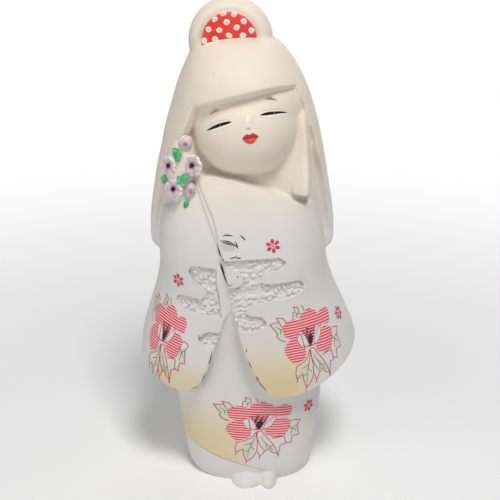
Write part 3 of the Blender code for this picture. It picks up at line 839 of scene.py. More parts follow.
def stroke(sheet, points, width, closed=False, taper=0.0, gap=0.7):
    """A line of paint: a strip along a smooth curve, thinner at its ends where it tapers."""
    run = smooth_line(points, closed, gap)
    count = len(run)
    rows = []
    for k, here in enumerate(run):
        before = run[k - 1] if k or closed else here
        after = run[(k + 1) % count] if k + 1 < count or closed else here
        along = (after - before).normalized()
        share = k / (count - 1)
        half = width / 2 * (1 - taper * (2 * share - 1) ** 2)
        side = Vector((-along.y, along.x)) * half
        rows.append([sheet.verts.new((*(here + side), 0)), sheet.verts.new((*(here - side), 0))])
    pairs = list(zip(rows, rows[1:] + rows[:1])) if closed else list(zip(rows, rows[1:]))
    for first, second in pairs:
        sheet.faces.new((first[0], first[1], second[1], second[0]))


def patch(sheet, outline, longest=1.3):
    """A filled patch of paint, cut up finely enough to lie on a curved surface."""
    ring = [sheet.verts.new((*p, 0)) for p in smooth_line(outline, True, 0.8)]
    edges = [sheet.edges.new((a, b)) for a, b in zip(ring, ring[1:] + ring[:1])]
    made = bmesh.ops.triangle_fill(sheet, edges=edges, use_beauty=True)["geom"]
    faces = [part for part in made if isinstance(part, bmesh.types.BMFace)]
    for _ in range(4):
        long = {edge for face in faces for edge in face.edges if edge.calc_length() > longest}
        if not long:
            break
        cut = bmesh.ops.subdivide_edges(sheet, edges=list(long), cuts=1)
        touched = {part for part in cut["geom"] if isinstance(part, bmesh.types.BMFace)}
        faces = [face for face in set(faces) | touched if face.is_valid]
        faces = bmesh.ops.triangulate(sheet, faces=faces)["faces"]


def disc(sheet, middle, radius, sides=10):
    ring = [(middle[0] + radius * math.cos(a), middle[1] + radius * math.sin(a)) for a in spread(sides)]
    sheet.faces.new([sheet.verts.new((*p, 0)) for p in ring])


def spread(count, start=0.0):
    return [start + 2 * math.pi * k / count for k in range(count)]


def looking_from(centre, azimuth, rise, roll=0.0):
    """The place of a print: it faces the given way, with its own y upwards."""
    turn = Matrix.Rotation(math.radians(azimuth), 4, "Z") @ Matrix.Rotation(math.radians(90 - rise), 4, "X")
    middle = Matrix.Scale(MM, 4) @ (Vector(centre) + SET_DOWN)
    return Matrix.Translation(middle) @ turn @ Matrix.Rotation(math.radians(roll), 4, "Z")


def lay_on(name, sheets, clay, lift, paint):
    """Lays flat painted sheets on the clay, each from its own place, as one finished piece."""
    laid = []
    for sheet, place in sheets:
        mesh = bpy.data.meshes.new(name)
        bmesh.ops.recalc_face_normals(sheet, faces=sheet.faces)
        for face in sheet.faces:
            if face.normal.z < 0:
                face.normal_flip()
        layer = sheet.loops.layers.uv.new("print")
        for face in sheet.faces:
            for loop in face.loops:
                loop[layer].uv = loop.vert.co.xy
        sheet.to_mesh(mesh)
        sheet.free()
        mesh.transform(Matrix.Scale(MM, 4))
        piece = bpy.data.objects.new(name, mesh)
        bpy.context.scene.collection.objects.link(piece)
        piece.matrix_world = place @ Matrix.Translation((0, 0, PRINT_START))
        apply_modifier(
            piece,
            "SHRINKWRAP",
            target=clay,
            wrap_method="PROJECT",
            use_project_z=True,
            use_negative_direction=True,
            use_positive_direction=False,
            project_limit=PRINT_REACH,
        )
        places = corners(piece)
        missed = places[:, 2] > -1e-7
        places[:, 2] += lift
        move_corners(piece, places)
        cut = bmesh.new()
        cut.from_mesh(piece.data)
        cut.verts.ensure_lookup_table()
        bmesh.ops.delete(cut, geom=[cut.verts[k] for k in np.flatnonzero(missed)], context="VERTS")
        cut.to_mesh(piece.data)
        cut.free()
        bpy.ops.object.transform_apply(location=True, rotation=True, scale=True)
        laid.append(piece)
    whole = join(name, laid)
    shade(whole)
    hand_over(whole, paint)


def find_clay():
    clay = bpy.data.objects.get("doll_clay")
    if clay is None:
        raise RuntimeError("The clay is made first, because the paint lies on it.")
    return clay


def flat_paint(name, colour, second, scale=900.0, roughness=0.45, sheen=0.5):
    """Brushed paint of one colour, uneven in tone and gloss."""
    finish = Finish(name, roughness)
    finish.shader.inputs["Specular IOR Level"].default_value = sheen
    vector = finish.place()
    streak = finish.grain(vector, scale, 3.0, 0.6)
    broad = finish.grain(vector, scale / 8, 2.0)
    colour = finish.mix((streak * 0.6 + broad * 0.4).rise(0.35, 0.7), colour, second)
    bump = finish.bump(streak, 0.2, 0.0002)
    finish.use(Base_Color=colour, Roughness=roughness + streak * 0.15, Normal=bump)
    return finish.material


# Face: places in mm from a point beside the nose, across and up as the camera sees them

FACE_MARK = (-1.2, -38.7, 222.9)
FACE_RISE = 23
EYES = [
    [(-21.3, -2.3), (-19.1, -0.8), (-15.7, 0.6), (-11.9, 1.45), (-9.1, 1.75), (-8.1, 1.4), (-9.2, 0.8)]
    + [(-11.5, 0.05), (-15, -0.95), (-18.8, -1.9)],
    [(6.4, 4.9), (7.8, 5.8), (10.9, 6.8), (16, 7.5), (19.1, 7.6), (20.7, 7.3), (17.7, 6.7), (13.6, 5.8)]
    + [(9.1, 4.95)],
]
# Painted reflections: a small grey glint painted in each eye
GLINTS = [(-14.2, 0.05), (13.6, 6.55)]
LIDS = [
    [(-20.6, -0.5), (-17.6, 1.35), (-13.6, 2.55), (-9.9, 2.75)],
    [(7.4, 7), (10.8, 8.1), (15.4, 8.75), (19.4, 8.6)],
]
BROWS = [
    (0.8, [(-19.6, 6), (-17, 7.2), (-14.3, 7.9)]),
    (0.5, [(-18.6, 7.3), (-16.4, 8.3), (-14.8, 8.6)]),
    (1.1, [(8.8, 13.3), (11.8, 13.6), (15.4, 13.1)]),
    (0.5, [(10, 14.4), (13, 14.5)]),
]
UPPER_LIP = [(-2.75, -7.3), (-1.9, -5.9), (-0.75, -5), (0, -4.9), (1.05, -5.25), (1.9, -4.6)]
UPPER_LIP += [(2.75, -4.3), (3.9, -4.7), (5.5, -5.8), (3.4, -6.3), (1.2, -6.95), (-0.6, -7.1)]
LOWER_LIP = [(-2.75, -7.3), (-0.6, -7.1), (1.2, -6.95), (3.4, -6.3), (5.5, -5.8), (4.9, -7), (3.3, -9.1)]
LOWER_LIP += [(1.5, -9.8), (-0.4, -9.4), (-2, -8.3)]
MOUTH_LINE = [(-3, -7.4), (-0.6, -7.05), (1.4, -6.85), (3.4, -6.25), (5.8, -5.75)]


def paint_face(clay, settings):
    """The eyes, with a painted glint, a rim of painted highlight below and a lid line each, the brows and
    the lips.
    """
    eyes, glints, rim_highlights, lids, brows, upper, lower, line = (bmesh.new() for _ in range(8))
    for outline in EYES:
        patch(eyes, outline, longest=1.0)
        # A bright line under each eye: painted highlight along its lower edge
        stroke(rim_highlights, [(x, y - 0.5) for x, y in outline[5:] + outline[:1]], 0.7, taper=0.6, gap=0.5)
    for middle in GLINTS:
        disc(glints, middle, 0.24)
    for points in LIDS:
        stroke(lids, points, 0.34, taper=0.85, gap=0.5)
    for width, points in BROWS:
        stroke(brows, points, width, taper=0.85, gap=0.5)
    patch(upper, UPPER_LIP, longest=0.7)
    patch(lower, LOWER_LIP, longest=0.7)
    stroke(line, MOUTH_LINE, 0.42, taper=0.5, gap=0.4)
    lip = tuple(settings.lip_red)
    layers = [
        ("eyes", eyes, 1.0, "eye_black", tint(12, 10, 16), tint(30, 26, 36), 900.0, 0.4, 0.15),
        # Painted reflection in each eye
        ("eye_glints", glints, 1.8, "eye_glint", tint(150, 150, 160), tint(190, 190, 198)),
        # Painted highlight under each eye
        ("eye_rim_highlights", rim_highlights, 0.8, "eye_rim_highlight", tint(250, 248, 244), tint(240, 236, 230)),
        ("lid_lines", lids, 0.8, "lid_grey", tint(196, 188, 180), tint(212, 204, 194)),
        ("brows", brows, 1.0, "brow_ochre", tint(132, 108, 66), tint(200, 186, 160), 2200.0),
        ("upper_lip", upper, 1.0, "upper_lip_paint", tint(176, 40, 34), tint(200, 62, 48), 500.0, 0.35),
        ("lower_lip", lower, 1.0, "lower_lip_paint", lip, tint(236, 112, 84), 500.0, 0.35),
        ("mouth_line", line, 1.8, "mouth_line_paint", tint(104, 22, 24), tint(134, 34, 32)),
    ]
    place = looking_from(FACE_MARK, 0, FACE_RISE)
    for name, sheet, height, *paint in layers:
        lay_on(name, [(sheet, place)], clay, settings.paint_lift * height, flat_paint(*paint))


# Bun pad

DOT_RADIUS = 1.75


def pad_finish(settings):
    finish = Finish("pad_red_cloth", 0.5)
    vector = finish.place()
    broad = finish.grain(vector, 120.0, 3.0)
    fine = finish.grain(vector, 1400.0, 3.0, 0.6)
    place = finish.parts(vector)
    colour = finish.mix(broad.rise(0.35, 0.7), tuple(settings.pad_red), tint(232, 66, 40))
    colour = finish.mix(place[0].rise(-0.014, 0.004) * 0.5, colour, tint(222, 66, 66))
    middle = pad_place()
    inside = blot(finish, place, (middle.x, middle.z), (PAD_RADIUS, PAD_RADIUS), 0.07)
    colour = finish.mix(inside, tint(240, 206, 200), colour)
    bump = finish.bump(fine + broad, 0.3, 0.0003)
    finish.use(Base_Color=colour, Roughness=0.42 + fine * 0.2, Normal=bump)
    return finish.material


def dot_finish():
    finish = Finish("dot_white", 0.5)
    fine = finish.grain(finish.place(), 1300.0, 3.0)
    x, y, _ = finish.parts(finish.print_place())
    pit = ((x * x + y * y) ** 0.5).rise(0.5, 0.1)
    colour = finish.mix(fine.rise(0.3, 0.8), tint(244, 240, 228), tint(226, 218, 204))
    colour = finish.mix(pit, colour, tint(204, 194, 182))
    finish.use(Base_Color=colour, Roughness=0.45 + fine * 0.2)
    return finish.material


def make_dot():
    """One raised dot: a low dome with a small pit in its top."""
    fresh()
    bpy.ops.mesh.primitive_circle_add(vertices=16, radius=DOT_RADIUS, fill_type="NGON")
    dot = bpy.context.object
    bpy.ops.object.mode_set(mode="EDIT")
    bpy.ops.mesh.select_all(action="SELECT")
    bpy.ops.mesh.extrude_region_move(TRANSFORM_OT_translate={"value": (0, 0, 0.35)})
    for thickness, rise in ((0.3, 0.28), (0.55, 0.16), (0.4, -0.1), (0.15, -0.1)):
        bpy.ops.mesh.inset(thickness=thickness, depth=0)
        bpy.ops.transform.translate(value=(0, 0, rise))
    bpy.ops.object.mode_set(mode="OBJECT")
    layer = dot.data.uv_layers.new(name="print")
    for loop in dot.data.loops:
        layer.data[loop.index].uv = dot.data.vertices[loop.vertex_index].co.xy / DOT_RADIUS
    return dot


# Places of the dots, across and up from the middle of the pad
DOTS = [(-3, 13.4), (2.4, 13), (-7.4, 10.6), (-1.3, 9.3), (7.5, 9.6), (-10.7, 5.4), (-5.2, 5.2)]
DOTS += [(3.8, 6.6), (11.4, 4.8), (-12.8, -0.6), (-7.4, 0.5), (-0.1, 2.4), (7.1, 2.4), (-4, -4.2)]
DOTS += [(4.2, -2.6)]


def make_pad(settings):
    """The half-round pad of dotted cloth in the face of the bun."""
    tilt = head_turn(BUN_TURN)
    centre = pad_place(PAD_RECESS)
    half_depth = PAD_RECESS + 0.8
    pad = ball("bun_pad", centre, (PAD_RADIUS, half_depth, PAD_RADIUS), tilt, 120, PAD_FLATNESS)
    dots = []
    model = make_dot()
    for number, (across, up) in enumerate(DOTS):
        x, _, z = tilt.inverted() @ Vector((across, 0, up))
        reach = math.hypot(x, z)
        depth = half_depth * (1 - (reach / PAD_RADIUS) ** PAD_FLATNESS) ** (1 / PAD_FLATNESS)
        slope = math.atan2(half_depth * 1.3 * (reach / PAD_RADIUS) ** 1.6, PAD_RADIUS)
        away = math.atan2(z, x)
        lean = Matrix.Rotation(-slope, 4, Vector((-math.sin(away), 0, math.cos(away))))
        dot = model.copy()
        dot.data = model.data.copy()
        bpy.context.scene.collection.objects.link(dot)
        stand = Matrix.Rotation(math.radians(90), 4, "X")
        swing = Matrix.Rotation(0.7 * math.sin(7.3 * number), 4, "Z")
        width = Matrix.Diagonal((1.0, 0.92 + 0.1 * math.sin(5 * number), 1.0, 1.0))
        place = Matrix.Translation(centre) @ tilt @ Matrix.Translation((x, -depth + 0.25, z)) @ lean
        dot.data.transform(place @ stand @ swing @ width)
        dots.append(dot)
    bpy.data.objects.remove(model)
    white = join("pad_dots", dots)
    for piece, material in ((pad, pad_finish(settings)), (white, dot_finish())):
        set_down(piece)
        shade(piece, 60)
        hand_over(piece, material)


# Hair flowers

NEAR = Matrix.Rotation(math.radians(-24), 4, "Z") @ Matrix.Rotation(math.radians(-8), 4, "X")
FAR = Matrix.Rotation(math.radians(-46), 4, "Z") @ Matrix.Rotation(math.radians(-6), 4, "X")
BLOOMS = [
    (NEAR, (-30.4, -30.4, 198.4), 5.9, 0.3),
    (FAR, (-43, -26.4, 196.8), 5.3, 0.9),
    (NEAR, (-40.8, -28.2, 184.4), 5.4, 0.1),
]
BUDS = [(NEAR, (-34, -27.8, 210.2), (3.9, 3.6, 3.9)), (NEAR, (-31.7, -27.6, 183.5), (2.9, 3.2, 4.4))]
LEAVES = [
    (FAR, (-39, -29, 203.6), (4.2, 3.4), -50),
    (NEAR, (-35.6, -30.6, 190.6), (4.4, 2.5), 35),
    (NEAR, (-37, -30, 189.4), (3.2, 2.2), -60),
    (NEAR, (-45.4, -24, 188), (3, 2.9), -30),
    (NEAR, (-34.6, -28.8, 175.8), (2.4, 1.6), 80),
]


def petal_finish():
    finish = Finish("flower_lilac", 0.5)
    vector = finish.place()
    fine = finish.grain(vector, 700.0, 3.0)
    broad = finish.grain(vector, 160.0, 2.0)
    reach, round_place, _ = finish.parts(finish.print_place())
    colour = finish.mix(reach.rise(0.05, 0.5), tint(150, 88, 112), tint(214, 192, 200))
    veins = (round_place * 6.0 + broad * 2.4).fraction().rise(0.5, 0.8) * reach.rise(0.95, 0.6)
    colour = finish.mix(veins * 0.65, colour, tint(172, 138, 154))
    colour = finish.mix((broad - 0.48).larger(0.0) * 1.8, colour, tint(170, 158, 190))
    colour = finish.mix((fine - 0.52).larger(0.0) * 0.9, colour, tint(214, 150, 160))
    rim = (reach + (broad - 0.5) * 0.5).rise(0.74, 0.9)
    colour = finish.mix(rim * 0.85, colour, tint(244, 238, 232))
    finish.use(Base_Color=colour, Roughness=0.24 + fine * 0.2, Normal=finish.bump(fine, 0.25, 0.0003))
    return finish.material


def petal(turn, centre, radius, angle):
    """One cupped petal with a notched tip, thick where it leaves the heart of the flower."""
    fresh()
    bpy.ops.mesh.primitive_uv_sphere_add(segments=28, ring_count=18, radius=1)
    piece = bpy.context.object
    places = corners(piece)
    x, y, z = places.T
    width = 0.62 * (0.55 + 0.45 * np.sqrt(np.clip((x + 1) / 1.4, 0, 1)))
    notch = 0.16 * np.exp(-((z / 0.22) ** 2)) * np.clip(x, 0, 1)
    along = (x + 1) * 0.5 - notch
    cup = 0.20 * along**2 - 0.10 * (z**2) * np.clip(x + 0.5, 0, 1)
    layer = piece.data.uv_layers.new(name="print")
    for loop in piece.data.loops:
        layer.data[loop.index].uv = (along[loop.vertex_index], z[loop.vertex_index])
    thick = y * 0.26 - cup + 0.1
    move_corners(piece, np.stack([along * radius, thick * radius, z * width * radius], axis=1))
    piece.data.transform(Matrix.Translation(centre) @ turn @ Matrix.Rotation(-angle, 4, "Y"))
    return piece


def make_flowers(settings):
    """Three open flowers, two buds and their leaves beside the doll's right cheek."""
    petals = []
    hearts = []
    for turn, centre, radius, start in BLOOMS:
        for angle in spread(5, start + math.pi / 2):
            petals.append(petal(turn, Vector(centre), radius, angle))
        middle = Vector(centre) + turn @ Vector((0, -1.2, 0))
        hearts.append(ball("heart", middle, (1.35, 0.7, 1.15), turn, 6))
    buds = []
    for turn, centre, sizes in BUDS:
        bud = ball("bud", centre, sizes, turn, 40)
        layer = bud.data.uv_layers.new(name="print")
        places = corners(bud) - np.array(centre)
        reach = np.hypot(places[:, 0] / sizes[0], places[:, 2] / sizes[2])
        for loop in bud.data.loops:
            layer.data[loop.index].uv = (reach[loop.vertex_index] * 0.9, 0.0)
        buds.append(bud)
    leaves = []
    for turn, centre, (length, width), roll in LEAVES:
        lean = turn @ Matrix.Rotation(math.radians(-roll), 4, "Y")
        leaf = ball("leaf", (0, 0, 0), (1, 1, 1), None, 28)
        places = corners(leaf)
        x, y, z = places.T
        point = np.clip(1 - np.abs(x) ** 2.2, 0, 1) ** 0.5
        fold = 0.25 * np.abs(z) - 0.2 * x**2
        across = z * width * (0.45 + 0.55 * point)
        move_corners(leaf, np.stack([x * length, (y * 0.35 + fold) * width, across], axis=1))
        leaf.data.transform(Matrix.Translation(centre) @ lean)
        leaves.append(leaf)
    heart_paint = flat_paint("heart_black", tint(20, 12, 16), tint(58, 24, 38), 1200.0, 0.35, 0.2)
    leaf_paint = flat_paint("leaf_paint", tuple(settings.leaf_green), tint(128, 212, 158), 420.0, 0.24)
    pairs = [
        (join("flower_petals", petals), petal_finish()),
        (join("flower_hearts", hearts), heart_paint),
        (join("flower_buds", buds), petal_finish()),
        (join("flower_leaves", leaves), leaf_paint),
    ]
    for piece, material in pairs:
        set_down(piece)
        shade(piece, 70)
        hand_over(piece, material)


# Printed peonies, in mm on the print, with the foot of the stamens just right of the middle

PETALS = [
    [(-4, 14.5), (-2.6, 17), (0.4, 17.6), (2.8, 18.6), (5.8, 17.4), (9.2, 15.2), (8.8, 11.8), (6.8, 9.5)]
    + [(-1.8, 9.7)],
    [(-16.6, 13.4), (-12.8, 15.4), (-8.4, 15.4), (-4.6, 13.8), (-2.4, 9.9), (-6.2, 8.2), (-10.4, 6.2)]
    + [(-16.4, 8.4)],
    [(9.8, 13.6), (12.4, 14.9), (16, 15.6), (19.4, 13.4), (18.2, 8.2), (13.2, 8.4), (7.8, 9.3)],
    [(-18.2, 1.4), (-15.4, 4.6), (-10.2, 6), (-7.9, 2.7), (-4.6, 0.6), (-5.6, -4.8), (-13, -6.4)]
    + [(-17.2, -2)],
    [(4.6, -1.2), (7, 2), (10.8, 6.1), (15.2, 6.2), (18.6, 3.6), (16.6, -3.4), (11.6, -5.2), (6.2, -3.8)],
    [(-3.6, 9.4), (-1.4, 1.6), (1.6, 1), (6, 9.2), (1.6, 10.4)],
]
WHITE_PETALS = [
    [(-8.7, 5.8), (-6.9, 7.5), (-5.4, 6), (-4.9, 0.7), (-7.3, 2.1)],
    [(-5, 7.7), (-3, 6.4), (-1.6, 3.4), (-1.3, 0.7), (-4.2, 1)],
    [(3.3, 0.9), (4.3, 3.6), (7, 6.4), (10.4, 8.4), (9.8, 5.2), (6.8, 1.7)],
]
LEAF_OUTLINES = [
    [(-1, -1.4), (-3.4, -4.6), (-7.5, -6.4), (-12.4, -7.4), (-13.5, -10.6), (-12.9, -13.4)]
    + [(-8.7, -11.2), (-8.2, -15.2), (-6.8, -18.6), (-3.2, -16.6), (-0.6, -12.6), (-0.2, -7.6)],
    [(-0.5, -1.4), (2.2, -1), (5, -4.4), (7.8, -7.4), (10.4, -11.2), (11.8, -14.8), (8.2, -13.6)]
    + [(6, -11.2), (4.4, -12.8), (1.4, -9.2), (-0.4, -5.4)],
    [(8, -5.4), (12.2, -5), (15.7, -4.8), (16.4, -9.4), (13.3, -9.7), (12.3, -14.6)],
    [(18.6, 3.8), (21.6, 4.4), (25, 3.3), (22.9, 0.2), (24.4, -5.6), (20.1, -5.6), (19.6, -9.6)]
    + [(16.6, -8.6)],
    [(-14.2, 15), (-16.4, 17.8), (-20.8, 18.8), (-19.6, 16.6), (-17.2, 12.4)],
    [(-19.9, 16.5), (-25.8, 16.1), (-21.4, 10.5), (-22.8, 9.4), (-20.4, 6.9), (-16.6, 5.7)],
    [(-9.1, 15.6), (-8.6, 19.2), (-6.9, 19.2), (-7.5, 22.1), (-4.2, 20.8), (-4, 17.2)],
    [(-1.5, 21.3), (-0.2, 19.8), (0, 18.2)],
    [(-0.2, -12.6), (1.1, -15.9), (3.8, -12.9)],
]
LEAF_TINTS = [
    [(-3, -6), (-6.4, -10), (-7.2, -14.6), (-4, -15.4), (-1.8, -11.2)],
    [(2.6, -3), (4.8, -7), (9.4, -11.8), (8.2, -12.4), (4.4, -9.4), (1.6, -6)],
    [(19, 0.6), (22.4, -0.8), (22.8, -4), (19.8, -4.2)],
    [(-22.6, 14.4), (-18.2, 14.6), (-17.6, 9.4), (-20.6, 9)],
    [(-7.8, 18.4), (-5.4, 19.8), (-5, 16.6), (-7.4, 16.2)],
]
VEINS = [
    [(-0.8, -3), (-3.2, -7.6), (-5.4, -12), (-6, -16.2)],
    [(-3.2, -7.6), (-8.4, -9)],
    [(-4.4, -9.8), (-1.8, -11.6)],
    [(-5.4, -12), (-8, -12.6)],
    [(1.6, -4.4), (5, -8.6), (9.2, -12.6)],
    [(5, -8.6), (4.4, -11.2)],
    [(6.4, -10), (9, -9.8)],
    [(17.4, 1.2), (20, -1.2), (22.6, -3.4)],
    [(20, -1.2), (22.8, 0.6)],
    [(20, -1.2), (19.2, -4.8)],
    [(-16.6, 10.6), (-19.6, 12.8), (-22.4, 14.4)],
    [(-19.6, 12.8), (-19.2, 9.6)],
    [(-6.2, 15.8), (-6.2, 18.6)],
    [(-6.2, 17.4), (-4.8, 18.8)],
]
LEAF_REACH = 1.16
# Each is its middle, which way it faces round and up, its turn, and its size across and up
PEONIES = [
    ((4.6, -32.5, 36.5), 0, 0, 0, (1, 1)),
    ((33.8, -36.5, 93.7), 21, 5, 8, (0.8, 1.18)),
    ((-49, -26, 91.4), -44, 4, -8, (0.64, 1.28)),
]
SMALL_FLOWERS = [
    ((12.6, -41, 155.8), 8, 0, 8),
    ((-42, -33.6, 131.2), -30, 0, 0),
    ((58, -22, 105.6), 64, 0, 12),
    ((35.6, -24, 46.9), 32, 0, 10),
]


def stripe_finish(settings):
    """The petals' ruled print: crimson lines with pink between them, and paler gaps."""
    finish = Finish("petal_stripes", 0.5)
    place = finish.print_place()
    x, y, _ = finish.parts(place)
    wave = finish.grain(place, 0.16, 2.0)
    line = (y / 1.62 + x * 0.045 + wave * 0.55).fraction()
    dark = line.rise(0.30, 0.44) * line.rise(0.94, 0.82)
    pale = (line - 0.07).size().rise(0.12, 0.05)
    rub = finish.grain(place, 1.4, 3.0, 0.6)
    colour = finish.mix(dark, tuple(settings.petal_pink), tuple(settings.crimson))
    colour = finish.mix(pale * 0.8, colour, tint(248, 212, 212))
    colour = finish.mix((rub - 0.55).larger(0.0) * 0.9, colour, tint(226, 170, 170))
    finish.use(Base_Color=colour, Roughness=0.5 + rub * 0.12)
    return finish.material


def print_line_finish(name, colour, worn):
    """Thin printed lines, rubbed pale in places."""
    finish = Finish(name, 0.5)
    place = finish.print_place()
    rub = finish.grain(place, 0.9, 3.0, 0.6)
    colour = finish.mix(rub.rise(0.5, 0.75) * 0.6, colour, worn)
    finish.use(Base_Color=colour, Roughness=0.48 + rub * 0.12)
    return finish.material


def leaf_tint_finish():
    finish = Finish("leaf_tint", 0.55)
    place = finish.print_place()
    wash = finish.grain(place, 0.35, 2.0)
    colour = finish.mix(wash.rise(0.3, 0.7), tint(194, 212, 178), tint(214, 220, 202))
    finish.use(Base_Color=colour, Roughness=0.55 + wash * 0.1)
    return finish.material


def lowered(points):
    """Lets the leaves below the flower reach further down."""
    return [(x, y * LEAF_REACH if y < -4 else y) for x, y in points]


def scaled(points, size):
    return [(x * size[0], y * size[1]) for x, y in points]


def peony_layer(kind, size):
    """One colour of the peony print as a flat sheet of paint."""
    sheet = bmesh.new()
    if kind == "leaf_tints":
        for outline in LEAF_TINTS:
            patch(sheet, scaled(lowered(outline), size))
    if kind == "petals":
        for outline in PETALS:
            middle = sum((Vector(p) for p in outline), Vector((0, 0))) / len(outline)
            patch(sheet, scaled([middle.lerp(p, 1.07) for p in map(Vector, outline)], size))
    if kind == "white_petals":
        for outline in WHITE_PETALS:
            patch(sheet, scaled(outline, size))
    if kind == "lines":
        for number, outline in enumerate(LEAF_OUTLINES):
            closed = number in (0, 1)
            stroke(sheet, pointed(scaled(lowered(outline), size), closed), 0.42, gap=0.6)
        for outline in WHITE_PETALS:
            stroke(sheet, scaled(outline, size), 0.3, closed=True, gap=0.5)
        stroke(sheet, scaled([(-4.6, 0.4), (0.4, 0.2), (4.6, 0.4)], size), 0.5, gap=0.6)
        for x, y in ((-6.8, -18.6), (11.8, -14.8), (1.1, -15.9), (-12.9, -13.4), (12.3, -14.6)):
            stem = [(x, y), (x - 0.2, y - 1.8)]
            stroke(sheet, scaled(lowered(stem), size), 0.36, gap=0.6)
    if kind == "veins":
        for line in VEINS:
            stroke(sheet, scaled(lowered(line), size), 0.36, taper=0.5, gap=0.6)
    if kind == "stamens":
        patch(sheet, scaled([(-0.9, 2.0), (1.0, 0.7), (3.2, 4.6), (1.4, 5.8), (-0.6, 5.4)], size))
        for row in range(5):
            for column in range(row + 3):
                across = (column - (row + 2) / 2) * 1.45 + 0.9 + 0.35 * math.sin(9 * column + 4 * row)
                up = 3.6 + row * 1.35 + 0.3 * math.cos(5 * column + 7 * row)
                disc(sheet, (across * size[0], up * size[1]), 0.62 - 0.04 * row, 9)
    return sheet


def pointed(points, closed):
    """Keeps the tips of a leaf sharp: each corner is held by places close on both sides of it."""
    run = []
    ring = points[-1:] + points + points[:1]
    for before, here, after in zip(ring, points, ring[2:]):
        here, before, after = Vector(here), Vector(before), Vector(after)
        run += [here.lerp(before, 0.12), here, here.lerp(after, 0.12)]
    return run + [run[0]] if closed else run[1:-1]


def print_peonies(clay, settings):
    white = flat_paint("petal_white", tint(216, 210, 212), tint(232, 226, 224))
    green = print_line_finish("vein_dark", tint(52, 66, 58), tint(130, 140, 128))
    crimson = print_line_finish("line_crimson", tint(190, 44, 66), tint(214, 150, 156))
    dark = print_line_finish("stamen_dark", tint(34, 16, 26), tint(120, 30, 50))
    layers = [
        ("leaf_tints", 0.8, leaf_tint_finish()),
        ("petals", 1.0, stripe_finish(settings)),
        ("white_petals", 1.4, white),
        ("veins", 1.3, green),
        ("lines", 1.7, crimson),
        ("stamens", 2.0, dark),
    ]
    for kind, height, paint in layers:
        sheets = [(peony_layer(kind, size), looking_from(*place)) for *place, size in PEONIES]
        lay_on("peony_" + kind, sheets, clay, settings.paint_lift * height, paint)


def print_small_flowers(clay, settings):
    """Small red flowers of six petals, scattered on the kimono."""
    sheets = []
    for place in SMALL_FLOWERS:
        sheet = bmesh.new()
        for angle in spread(6, math.pi / 2):
            along = Vector((math.cos(angle), math.sin(angle)))
            side = Vector((-along.y, along.x))
            half = [(1.7, 0.8), (3.0, 1.05), (4.0, 0.5)]
            near = [along * reach + side * width for reach, width in half]
            far = [along * reach - side * width for reach, width in reversed(half)]
            patch(sheet, [along * 0.9] + near + far)
        disc(sheet, (0, 0), 0.55)
        sheets.append((sheet, looking_from(*place)))
    red = print_line_finish("small_flower_red", tint(204, 56, 84), tint(224, 130, 144))
    lay_on("small_flowers", sheets, clay, settings.paint_lift, red)


# Wear: dark lines where the ground has chipped, in mm across and up

CHIP_LINES = [
    [(-16.2, 158.9), (-11.6, 158.5), (-7.1, 155.7), (-6, 154.6)],
    [(-7.9, 158.9), (-6.4, 154.8)],
    [(-14.3, 161), (-13.5, 162), (-9, 161.7)],
    [(-5.2, 162), (-2.2, 159.2)],
    [(-17.8, 156.5), (-15.8, 150.3), (-13.5, 147.1), (-12.8, 147.9)],
    [(-16.6, 145.8), (-14.7, 139.7), (-12.4, 133.5), (-9.4, 133.9)],
    [(-10.9, 149.1), (-7.9, 149.9), (-7.1, 150.7)],
    [(-7.5, 149.5), (-4.8, 149.3)],
    [(-17.2, 153.6), (-16, 149.6)],
    [(-15.6, 144.6), (-14, 138.6)],
    [(-13, 162.4), (-11.4, 161.9)],
    [(-15.4, 158), (-12.4, 157.6), (-9.4, 156.4)],
]
HEM_CREASE = [(-35.6, 22.6), (-26, 19.6), (-12, 14.8), (2, 10.2), (12, 7)]
EDGE_LINES = [
    [(-21.2, 91.2), (-23.2, 81.8), (-24, 76.7)],
    [(-25.2, 76.6), (-26.4, 73.3), (-28.4, 68.6), (-30.8, 66.2), (-33.6, 65.5)],
    [(-26, 75), (-27.2, 71.4)],
    [(-2.2, 94.6), (-1.9, 92.6)],
    [(-0.8, 86.6), (0.9, 82.4)],
    [(2.2, 78.2), (4.2, 74.6), (6.8, 70.8), (9.6, 67.4)],
    [(3.4, 77.2), (5, 74.6)],
    [(-28.9, 100.7), (-28.1, 96.3)],
]


def wear(clay, settings):
    """The crease over the hem, hairlines round a shallow chip on the chest, and worn sleeve edges."""
    crease, chips, edges = (bmesh.new() for _ in range(3))
    stroke(crease, HEM_CREASE, 0.3, taper=0.4)
    for line in CHIP_LINES:
        stroke(chips, [(x, z - 150) for x, z in line], 0.7, taper=0.7, gap=0.6)
    disc(chips, (-6.6, 138.5 - 150), 0.42)
    for line in EDGE_LINES:
        stroke(edges, [(x, z - 100) for x, z in line], 0.6, taper=0.7, gap=0.6)
    low, high, middle = (looking_from((0, -42, z), 0, 0) for z in (0, 150, 100))
    fold = print_line_finish("hem_crease", tint(172, 164, 142), tint(200, 192, 172))
    lay_on("hem_crease", [(crease, low)], clay, settings.paint_lift, fold)
    dark = print_line_finish("chip_dark", tint(38, 34, 32), tint(112, 104, 96))
    lay_on("chip_lines", [(chips, high), (edges, middle)], clay, settings.paint_lift, dark)


# Stage


